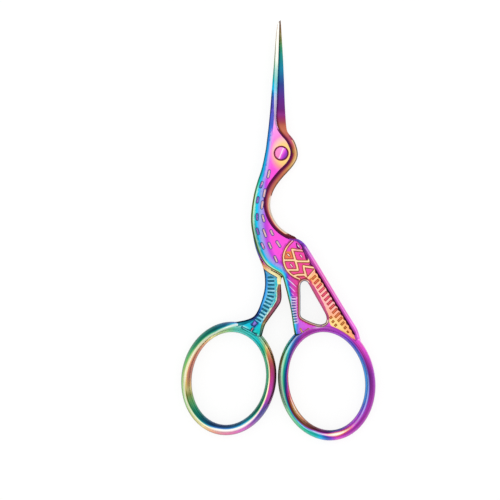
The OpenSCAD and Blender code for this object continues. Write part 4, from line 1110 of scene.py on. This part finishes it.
def add_bow(skin, side):
    stations, sides = 220, 56
    t = np.linspace(0, 360, stations, endpoint=False)
    u = np.linspace(0, 2 * math.pi, sides, endpoint=False)
    # Superellipse section, squarer spacing near the inner and outer walls
    e = 2 / ROUNDING
    cu, su = np.cos(u), np.sin(u)
    share = 0.5 + 0.5 * np.sign(cu) * np.abs(cu) ** e
    z = BAND_T / 2 * np.sign(su) * np.abs(su) ** e
    verts = np.empty((stations, sides, 3))
    steps = np.linspace(0.5, 1, 101)
    for i, a in enumerate(t):
        # The window cuts into the bow's crown
        cut = inside(bow_point(side, a, steps), window)
        top = steps[max(cut.argmax() - 1, 0)] if cut.any() else 0.998
        verts[i, :, :2] = bow_point(side, a, np.minimum(share * 0.996 + 0.002, top))
        verts[i, :, 2] = z - FACE_GAP / 2
    # One row and one column more than the points, so that the last corners end the turn instead of starting it
    turn = np.append(360 * np.arange(stations) / stations, 360 - 1e-6)
    coats = [bow_colour(side, np.full(sides + 1, a), np.append(share, share[0])) for a in turn]
    film, tone, dull = map(np.array, zip(*coats))
    i, k = np.divmod(np.arange(stations * sides), sides)
    a, b = (i + 1) % stations, (k + 1) % sides
    faces = np.stack([i * sides + k, a * sides + k, a * sides + b, i * sides + b], 1)

    def corners(v):
        return np.stack([v[i, k], v[i + 1, k], v[i + 1, k + 1], v[i, k + 1]], 1)

    skin.add(verts.reshape(-1, 3), faces.tolist(), corners(film), corners(tone), [50] * len(faces), corners(dull))


def add_sheet(skin, xy, tri, surface, relief, colour, up):
    """One side of a piece: heights at the points, facets at the triangles' middles, colours at the corners."""
    z, facet_v, d = surface(xy)
    z, m = relief(xy, z, facet_v, d)
    mid = xy[tri].mean(1)
    _, facet, _ = surface(mid)
    film, tone, dull = (np.empty(tri.shape) for _ in range(3))
    for k in range(3):
        i = tri[:, k]
        there = ({key: v[i] for key, v in measures.items()} for measures in (d, m))
        film[:, k], tone[:, k], dull[:, k] = colour(xy[i], facet, *there)
    faces, film, tone, dull = (v if up else v[:, ::-1] for v in (tri, film, tone, dull))
    skin.add(np.column_stack([xy, z]), faces.tolist(), film, tone, facet.tolist(), dull)


def near_marks(p):
    """Where the ornament needs a fine mesh."""
    x, y = p[:, 0], p[:, 1]
    return inside(p, wing_loop) | ((y < -25) & (x > 7) & (y > -41)) | (np.hypot(x, y) < 3.4)


def near_rear_marks(p):
    return (p[:, 1] < -19) & (p[:, 1] > -29)


def rows_between(path, low, high):
    return path[(path[:, 1] > low) & (path[:, 1] < high)]


BROAD = (0.12, 0.03, -0.09)  # guides that also take in the dark line round a cut
RED = 0.95  # the film in the bores


def make_front():
    skin = Skin()
    eye = circle(HEAD_R + HEAD_GAP)
    bore = circle(FRONT_BORE)
    lines = [bevel_line(front_left), bevel_line(front_right, -1)]
    seams = [rows_between(beside(front_left, by), -37, high) for by, high in ((0.14, 20), (0.3, 9), (0.44, 0))]
    seams += [rows_between(beside(front_right, -by), -39, -21) for by in (0.14, 0.3, 0.44, 0.58, 0.72)]
    seams += [ring(beside(window, by, True)) for by in (0.1, 0.18, 0.34, 0.42, WINDOW_BEVEL)]
    seams += guides(("dash", "toes_right"), BROAD) + guides(("thigh", "front_cut", "tail_cut", "seed"))
    seams += [beside(wing_line, by) for by in (0.13, 0.05, -0.05, -0.13)] + [ring(teeth)]
    seams += [ring(np.array(r)) for r in RECESSES]
    xy, tri = triangulate([front_loop, window, eye], lines + seams, near_marks)
    add_sheet(skin, xy, tri, front_top, front_relief, front_colour, True)

    def under(p):
        return deep_side(p, front_shoulder, front_level, front_left, front_right, 1, window_path)

    def under_relief(p, z, facet, d):
        names = ("front_cut", "tail_cut", "toes_right", "thigh", "teeth")
        m = marks(p, names)
        return z + np.where(facet == 5, deepest(m, names), 0), m

    def under_colour(p, facet, d, m):
        y = p[:, 1]
        film = ramp(y, {-41: 0.82, -36: 1.08, -30: 1, -24: 0.9, -18: 0.82, -8: 0.6, 0: 0.52, 8: 0.4, 20: 0.2,
            29: 0.1})
        coat = Coat(film, np.where(facet == 6, 0.05, 0.12))
        coat.lay(facet == 5, blend(film, 0.56, smooth((3.6 - p[:, 0]) / 2)))
        coat.lay((facet == 2) | (facet == 3), 0.83)
        coat.lay(facet == 1, 0.5)
        coat.lay((m["tail_cut"] < 0) | (m["front_cut"] < 0) | (facet == 4), tone=-0.3)
        coat.lay(m["teeth"] < 0.05, tone=-0.85)
        return coat

    guide = [beside(back_rump, SHOULDER_GAP + by) for by in (0, WALL, SHOULDER_W)]
    guide += [rows_between(lines[0], -50, -27), rows_between(lines[1], -50, -19), ring(teeth)]
    guide += guides(("thigh", "front_cut", "tail_cut", "toes_right")) + [ring(beside(window, WINDOW_BEVEL, True))]
    xy, tri = triangulate([front_loop, window, bore], guide, lambda p: (p[:, 1] < -18) & (p[:, 0] < 6), fine=0.2)
    add_sheet(skin, xy, tri, under, under_relief, under_colour, False)

    # The walls are painted dark, a painted shade on the sides
    for loop in (front_loop, window):
        top, facet, d = front_top(loop)
        m = marks(loop, FRONT_MARKS)
        m["wing"] = np.zeros(len(loop), bool)
        m["rim"] = far(loop)
        film, tone, _ = front_colour(loop, facet, d, m)
        wall(skin, loop, top, under(loop)[0], film, np.minimum(tone, -0.45))
    n = len(eye)
    seat = HALF_T - HEAD_H - SEAT_GAP
    # The seat and bore round the screw are painted dark, a painted shade
    wall(skin, eye, HALF_T, seat, RED, -0.75)
    faces = [[i, (i + 1) % n, (i + 1) % n + n, i + n] for i in range(n)]
    skin.add(np.vstack([lifted(eye, seat), lifted(bore, seat)]), faces, np.full((n, 4), RED), -0.7, [91] * n)
    wall(skin, bore, seat, 0, RED, -0.5)
    add_bow(skin, 1)
    return skin.build("front_casting", lambda v: v + [0, 0, HALF_T + FACE_GAP])


def make_back():
    skin = Skin()
    bore = circle(BACK_BORE)
    lines = [bevel_line(back_left), bevel_line(back_right, -1)]

    def outer(p):
        high = ridge(p[:, 1])
        sides, d = edges(p, back_left, back_right, high)
        options = np.stack([high, *sides])
        z, foot = share_limit(-1, p, options.min(0))
        return z, options.argmin(0), dict(**d, **foot)

    def outer_relief(p, z, facet, d):
        return back_relief(p, z, True)

    marked = guides(("rear_cut", "cuff")) + guides(("toes_left",), BROAD)
    xy, tri = triangulate([back_loop, bore], lines + marked + guides(("dash",), BROAD), near_rear_marks, fine=0.25)
    add_sheet(skin, xy, tri, outer, outer_relief, back_outer_colour, False)

    def seen(p):
        z, facet, d = deep_side(p, back_shoulder, back_level, back_left, back_right, -1)
        # The nape's outer rim is rounded over
        rim = (facet == 6) & (p[:, 1] < 4)
        z = z + np.where(rim, 0.16 * (1 - smooth(d["dr"] / 0.3)) + 0.12 * (1 - smooth(d["dl"] / 0.3)), 0)
        return z, facet, d

    def seen_relief(p, z, facet, d):
        return back_relief(p, z, False)

    steps = (0, WALL, SHOULDER_W - 0.05, SHOULDER_W, SHOULDER_W + 0.17)
    guide = [beside(back_belly, -SHOULDER_GAP - by) for by in steps]
    guide += [rows_between(beside(back_right, -by), -19, 6) for by in (0.12, 0.3, 0.5)]
    guide += [beside(back_belly, -SHOULDER_GAP - by) for by in (0.69, 0.71, 0.83, 0.85)]
    guide += [np.column_stack([np.full(14, by), np.linspace(-29.3, -26.7, 14)]) for by in (-0.9, -0.88)]
    guide += [rows_between(lines[0], -50, -24), rows_between(lines[1], -50, -28)]
    guide += [rows_between(beside(back_left, by), -50, -24) for by in (0.15, 0.4)]
    guide += [rows_between(beside(back_right, -by), -50, -28.5) for by in (0.16, 0.36)]
    guide += [rows_between(beside(front_right, -by), -19, 24) for by in (-0.1, -0.3, -0.55)]
    xy, tri = triangulate([back_loop, bore], guide + marked, near_rear_marks, fine=0.14)
    add_sheet(skin, xy, tri, seen, seen_relief, back_colour, True)
    low, facet, d = seen(back_loop)
    film, tone, _ = back_colour(back_loop, facet, d, marks(back_loop, ("rear_cut", "toes_left", "cuff")))
    # One run of colours down the left wall, from the blade to the foot, and one down the nape's wall; the walls and
    # the bore are painted dark, a painted shade
    y, step = back_loop[:, 1], np.roll(back_loop, -1, 0) - np.roll(back_loop, 1, 0)
    turn = np.sign(np.sum(back_loop[:, 0] * np.roll(y, -1) - np.roll(back_loop[:, 0], -1) * y))
    out = turn * step[:, 1] / np.hypot(step[:, 0], step[:, 1])
    left, right = smooth((-0.15 - out) / 0.3) * (y < 9), smooth((out + 0.1) / 0.3) * (y > -18.5) * (y < 9)
    belly_film = ramp(y, {-40: 0.6, -30: 0.57, -26: 0.52, -20: 0.4, -14: 0.34, -8: 0.4, -3: 0.5, 2: 0.62, 6: 0.78,
        9: 0.86})
    nape_film = ramp(y, {-18.5: 1, -15: 1.1, -8: 1.09, -3: 1.13, 2: 1.13, 5: 1.07, 7.5: 0.96, 9: 0.86})
    film = blend(blend(film, belly_film, left), nape_film, right)
    tone = blend(tone, -0.5, np.maximum(left, right))
    wall(skin, back_loop, low, outer(back_loop)[0], film, np.minimum(tone, -0.45))
    wall(skin, bore, 0, HALF_T, RED, -0.5)
    # Built in the casting's own frame, where the bow's heights run downwards
    add_bow(skin, -1)
    skin.verts[-1][:, 2] = -FACE_GAP - skin.verts[-1][:, 2]
    return skin.build("back_casting", lambda v: v * [1, 1, -1] + [0, 0, HALF_T])


def make_screw():
    """A slotted cheese head with a soft rim, and its shank."""
    skin = Skin()
    r = HEAD_R - 0.01
    c, s = math.cos(math.radians(SLOT_ANGLE)), math.sin(math.radians(SLOT_ANGLE))
    turn = np.array([[c, s], [-s, c]])
    half = SLOT_W / 2
    rim = circle(r, 96)
    soft, lean = 0.93, 0.04  # where the head's rim starts to round over, and how far the slot's sides lean
    bars = [even(np.array([[-r, k], [r, k]]) @ turn, 0.1) for k in (-half, half, -half + lean, half - lean)]
    bars = [b[np.hypot(b[:, 0], b[:, 1]) < r * 0.99] for b in bars]

    def surface(p):
        off = np.abs((p @ turn.T)[:, 1])
        rr = np.hypot(p[:, 0], p[:, 1])
        z = 2 * HALF_T + FACE_GAP - 0.03 - 0.05 * (rr / r) ** 2 - 0.1 * smooth((rr / r - 0.9) / 0.1)
        facet = np.where(off < half - lean, 2, np.where(off < half, 3, np.where(rr > r * soft, 1, 0)))
        return z - SLOT_DEPTH * np.clip((half - off) / lean, 0, 1), facet, {}

    def colour(p, facet, d, m):
        # Painted light: lighter to the upper left and darker to the lower right, painted shade on the rim and the
        # slot's sides, and a painted highlight on the slot's floor
        across = p[:, 0] - p[:, 1] * 0.6
        coat = Coat(blend(0.84, 0.78, smooth(across / 1.4)), ramp(across, {-1.2: 0.18, 0.2: 0.15, 1.2: -0.4}))
        coat.lay(smooth((0.3 - p[:, 0]) / 0.8), 0.9)
        coat.lay(facet == 1, tone=-0.35)
        coat.lay(facet == 2, 0.86, 0.52)
        coat.lay(facet == 3, tone=-0.7)
        return coat

    xy, tri = triangulate([rim], [ring(rim * soft)] + bars, lambda p: np.ones(len(p), bool), fine=0.12)
    add_sheet(skin, xy, tri, surface, lambda p, z, facet, d: (z, {}), colour, True)
    under = 2 * HALF_T + FACE_GAP - HEAD_H
    # The head's side is painted dark, a painted shade
    wall(skin, rim, surface(rim)[0], under, 0.9, -0.4, flip=True)
    shank = circle(SHANK, len(rim))
    n = len(rim)
    faces = [[i + n, (i + 1) % n + n, (i + 1) % n, i] for i in range(n)]
    skin.add(np.vstack([lifted(rim, under), lifted(shank, under)]), faces, np.full((n, 4), 0.9), -0.2, [92] * n)
    wall(skin, shank, under, 0.06, 0.9, -0.1, flip=True)
    # The shank's end, a shallow dome in the back half's bore
    dome = ((1, 0.06), (0.92, 0.02), (0.75, 0.012), (0.5, 0.006), (0.25, 0.003))
    verts = np.vstack([lifted(shank * k, h) for k, h in dome] + [[[0, 0, 0.002]]])
    faces = [[k * n + i, (k + 1) * n + i, (k + 1) * n + (i + 1) % n, k * n + (i + 1) % n]
             for k in range(4) for i in range(n)]
    skin.add(verts, faces, np.full((len(faces), 4), 0.92), 0.05, [93] * len(faces))
    caps = [[4 * n + i, 5 * n, 4 * n + (i + 1) % n] for i in range(n)]
    skin.add(verts, caps, np.full((n, 3), 0.92), 0.05, [93] * n)
    return skin.build("slotted_screw", lambda v: v)


# Anodised titanium finish: the oxide film's thickness sets the colour, round one turn of its hues
FILM = {
    0: (0.76, 0.155, 0.085), 0.06: (0.87, 0.28, 0.085), 0.12: (0.85, 0.47, 0.105), 0.18: (0.88, 0.76, 0.26),
    0.25: (0.36, 0.42, 0.075), 0.33: (0.16, 0.52, 0.16), 0.42: (0.03, 0.48, 0.27), 0.48: (0.01, 0.5, 0.47),
    0.53: (0.012, 0.52, 0.82), 0.58: (0.03, 0.27, 0.72), 0.64: (0.055, 0.13, 0.58), 0.7: (0.14, 0.09, 0.6),
    0.76: (0.33, 0.07, 0.68), 0.81: (0.6, 0.06, 0.62), 0.86: (0.84, 0.085, 0.7), 0.91: (0.84, 0.07, 0.34),
    0.96: (0.74, 0.09, 0.16), 1: (0.76, 0.155, 0.085)}


def film_metal(name, rough, brush):
    mat = bpy.data.materials.new(name)
    mat.use_nodes = True
    tree = mat.node_tree
    tree.nodes.clear()
    new, link = tree.nodes.new, tree.links.new

    def math_node(kind, *values):
        n = new("ShaderNodeMath")
        n.operation = kind
        for socket, v in zip(n.inputs, values):
            if isinstance(v, (int, float)):
                socket.default_value = v
            else:
                link(v, socket)
        return n.outputs[0]

    def mix(kind, factor, a, colour):
        """Socket a mixed towards a constant colour."""
        n = new("ShaderNodeMix")
        n.data_type, n.blend_type = "RGBA", kind
        link(factor, n.inputs["Factor"])
        link(a, n.inputs["A"])
        n.inputs["B"].default_value = (*colour, 1)
        return n.outputs["Result"]

    def attribute(name):
        n = new("ShaderNodeAttribute")
        n.attribute_name = name
        return n.outputs["Fac"]

    def noise(scale, detail, stretch=(1, 1, 1)):
        where = new("ShaderNodeTexCoord")
        mapped = new("ShaderNodeMapping")
        mapped.inputs["Scale"].default_value = stretch
        link(where.outputs["Object"], mapped.inputs["Vector"])
        n = new("ShaderNodeTexNoise")
        n.inputs["Scale"].default_value = scale
        n.inputs["Detail"].default_value = detail
        n.inputs["Roughness"].default_value = 0.6
        link(mapped.outputs[0], n.inputs["Vector"])
        return n.outputs["Fac"]

    film, tone, dull = attribute("film"), attribute("tone"), attribute("dull")
    drift = math_node("MULTIPLY", math_node("SUBTRACT", noise(420, 3), 0.5), 0.02)
    mottle = math_node("MULTIPLY", math_node("SUBTRACT", noise(2600, 4), 0.5), 0.008)
    colours = new("ShaderNodeValToRGB")
    colours.color_ramp.interpolation = "LINEAR"
    while len(colours.color_ramp.elements) < len(FILM):
        colours.color_ramp.elements.new(0.5)
    for element, (at, c) in zip(colours.color_ramp.elements, FILM.items()):
        element.position = at
        element.color = (*c, 1)
    link(math_node("FRACT", math_node("ADD", math_node("ADD", film, drift), mottle)), colours.inputs["Fac"])
    # Dullness greys the film, and tone lifts it to a pale cream or drops it to near black: this paints highlights and
    # shade as well as lighter and darker colours
    up = math_node("MINIMUM", math_node("MAXIMUM", tone, 0.0), 0.92)
    down = math_node("MINIMUM", math_node("MAXIMUM", math_node("MULTIPLY", tone, -1.0), 0.0), 0.96)
    colour = mix("MIX", dull, colours.outputs["Color"], (0.3, 0.24, 0.25))
    colour = mix("MULTIPLY", down, mix("MIX", up, colour, (1, 0.98, 0.94)), (0.03, 0.02, 0.04))
    # Fine polishing marks and a little wear
    grain, rubbed = noise(9000, 3, brush), noise(1500, 2)
    shader = new("ShaderNodeBsdfPrincipled")
    # Below 0, dull is a satin finish instead
    link(math_node("ADD", math_node("MINIMUM", dull, 0), 1), shader.inputs["Metallic"])
    link(colour, shader.inputs["Base Color"])
    link(math_node("ADD", math_node("MULTIPLY", math_node("ADD", grain, rubbed), 0.1), rough),
        shader.inputs["Roughness"])
    bumps = new("ShaderNodeBump")
    bumps.inputs["Strength"].default_value = 0.12
    bumps.inputs["Distance"].default_value = 0.00002
    link(grain, bumps.inputs["Height"])
    link(bumps.outputs["Normal"], shader.inputs["Normal"])
    out = new("ShaderNodeOutputMaterial")
    link(shader.outputs[0], out.inputs["Surface"])
    return mat


for obj, body, node, slot, rough, brush in (
        (make_front(), "front", "front_half", "front_steel", 0.14, (1, 0.2, 1)),
        (make_back(), "back", "back_half", "back_steel", 0.14, (1, 0.2, 1)),
        (make_screw(), "back", "pivot_screw", "screw_steel", 0.12, (0.4, 1, 1))):
    obj.data.materials.append(film_metal("film_" + slot, rough, brush))
    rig.ride(obj, body)
    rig.replaces(obj, node)
    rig.slot(obj, slot)

# Floor, light and camera
world = bpy.data.worlds.new("studio")
bpy.context.scene.world = world
world.use_nodes = True
wt = world.node_tree
wt.nodes.clear()
path = wt.nodes.new("ShaderNodeLightPath")
out = wt.nodes.new("ShaderNodeOutputWorld")


def backdrop(strength):
    n = wt.nodes.new("ShaderNodeBackground")
    n.inputs["Color"].default_value = (1, 1, 1, 1)
    n.inputs["Strength"].default_value = strength
    return n.outputs[0]


def either(tree, test, otherwise, chosen):
    n = tree.nodes.new("ShaderNodeMixShader")
    for socket, value in zip(n.inputs, (test, otherwise, chosen)):
        tree.links.new(value, socket)
    return n.outputs[0]


indirect = either(wt, path.outputs["Is Glossy Ray"], backdrop(1.15), backdrop(0.7))
wt.links.new(either(wt, path.outputs["Is Camera Ray"], indirect, backdrop(1)), out.inputs["Surface"])


def softbox(name, where, size, glow):
    """A lamp that faces the middle of the scissors."""
    data = bpy.data.lights.new(name, "AREA")
    data.shape = "RECTANGLE"
    data.size, data.size_y = size
    data.energy = glow * math.pi * size[0] * size[1]
    obj = in_scene(name, data)
    obj.location = where
    obj.rotation_mode = "QUATERNION"
    obj.rotation_quaternion = (Vector((0, -0.02, 0)) - Vector(where)).to_track_quat("-Z", "Y")


# Names, places and sizes in metres, and strengths
softbox("overhead", (0.05, 0.15, 1.2), (0.7, 0.7), 0.6)
softbox("left", (-0.9, 0.2, 0.5), (0.5, 0.9), 0.6)
softbox("low_left", (-0.55, -0.6, 0.55), (0.5, 0.5), 0.6)
softbox("right", (0.8, -0.3, 0.7), (0.3, 0.8), 0.4)
softbox("upper_right", (0.9, 0.5, 0.3), (0.5, 0.5), 0.5)

floor_mesh = bpy.data.meshes.new("floor")
floor_mesh.from_pydata([(-3, -3, 0), (3, -3, 0), (3, 3, 0), (-3, 3, 0)], [], [(0, 1, 2, 3)])
floor = in_scene("floor", floor_mesh)
floor.location.z = -0.0001
paper = bpy.data.materials.new("paper")
paper.use_nodes = True
pt = paper.node_tree
matt = pt.nodes["Principled BSDF"]
matt.inputs["Base Color"].default_value = (0.93, 0.93, 0.915, 1)
matt.inputs["Roughness"].default_value = 0.9
# The camera sees mostly a plain white that the lamps don't change, with a little of the shadow
glow = pt.nodes.new("ShaderNodeEmission")
seen = pt.nodes.new("ShaderNodeLightPath")
part = pt.nodes.new("ShaderNodeMath")
part.operation = "MULTIPLY"
part.inputs[1].default_value = 0.86
pt.links.new(seen.outputs["Is Camera Ray"], part.inputs[0])
white = either(pt, part.outputs[0], matt.outputs[0], glow.outputs[0])
pt.links.new(white, pt.nodes["Material Output"].inputs["Surface"])
floor_mesh.materials.append(paper)
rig.stage(floor)

PHOTO_WIDTH, FACE_BELOW = 0.1116, 0.797  # the photo's width on the upper face, and how far that is below the camera
camera = bpy.data.cameras.new("camera")
camera.sensor_width = 36
camera.lens = camera.sensor_width * FACE_BELOW / PHOTO_WIDTH
camera.clip_start, camera.clip_end = 0.01, 20
cam = in_scene("camera", camera)
cam.location = (-0.00696, -0.02158, 0.8)
bpy.context.scene.camera = cam
bpy.context.scene.view_settings.view_transform = "Standard"

bpy.context.view_layer.update()
model_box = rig.bounds()
with open("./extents.json", "w") as f:
    json.dump({"cad": [list(v) for v in cad_box], "visual": [list(v) for v in model_box]}, f)
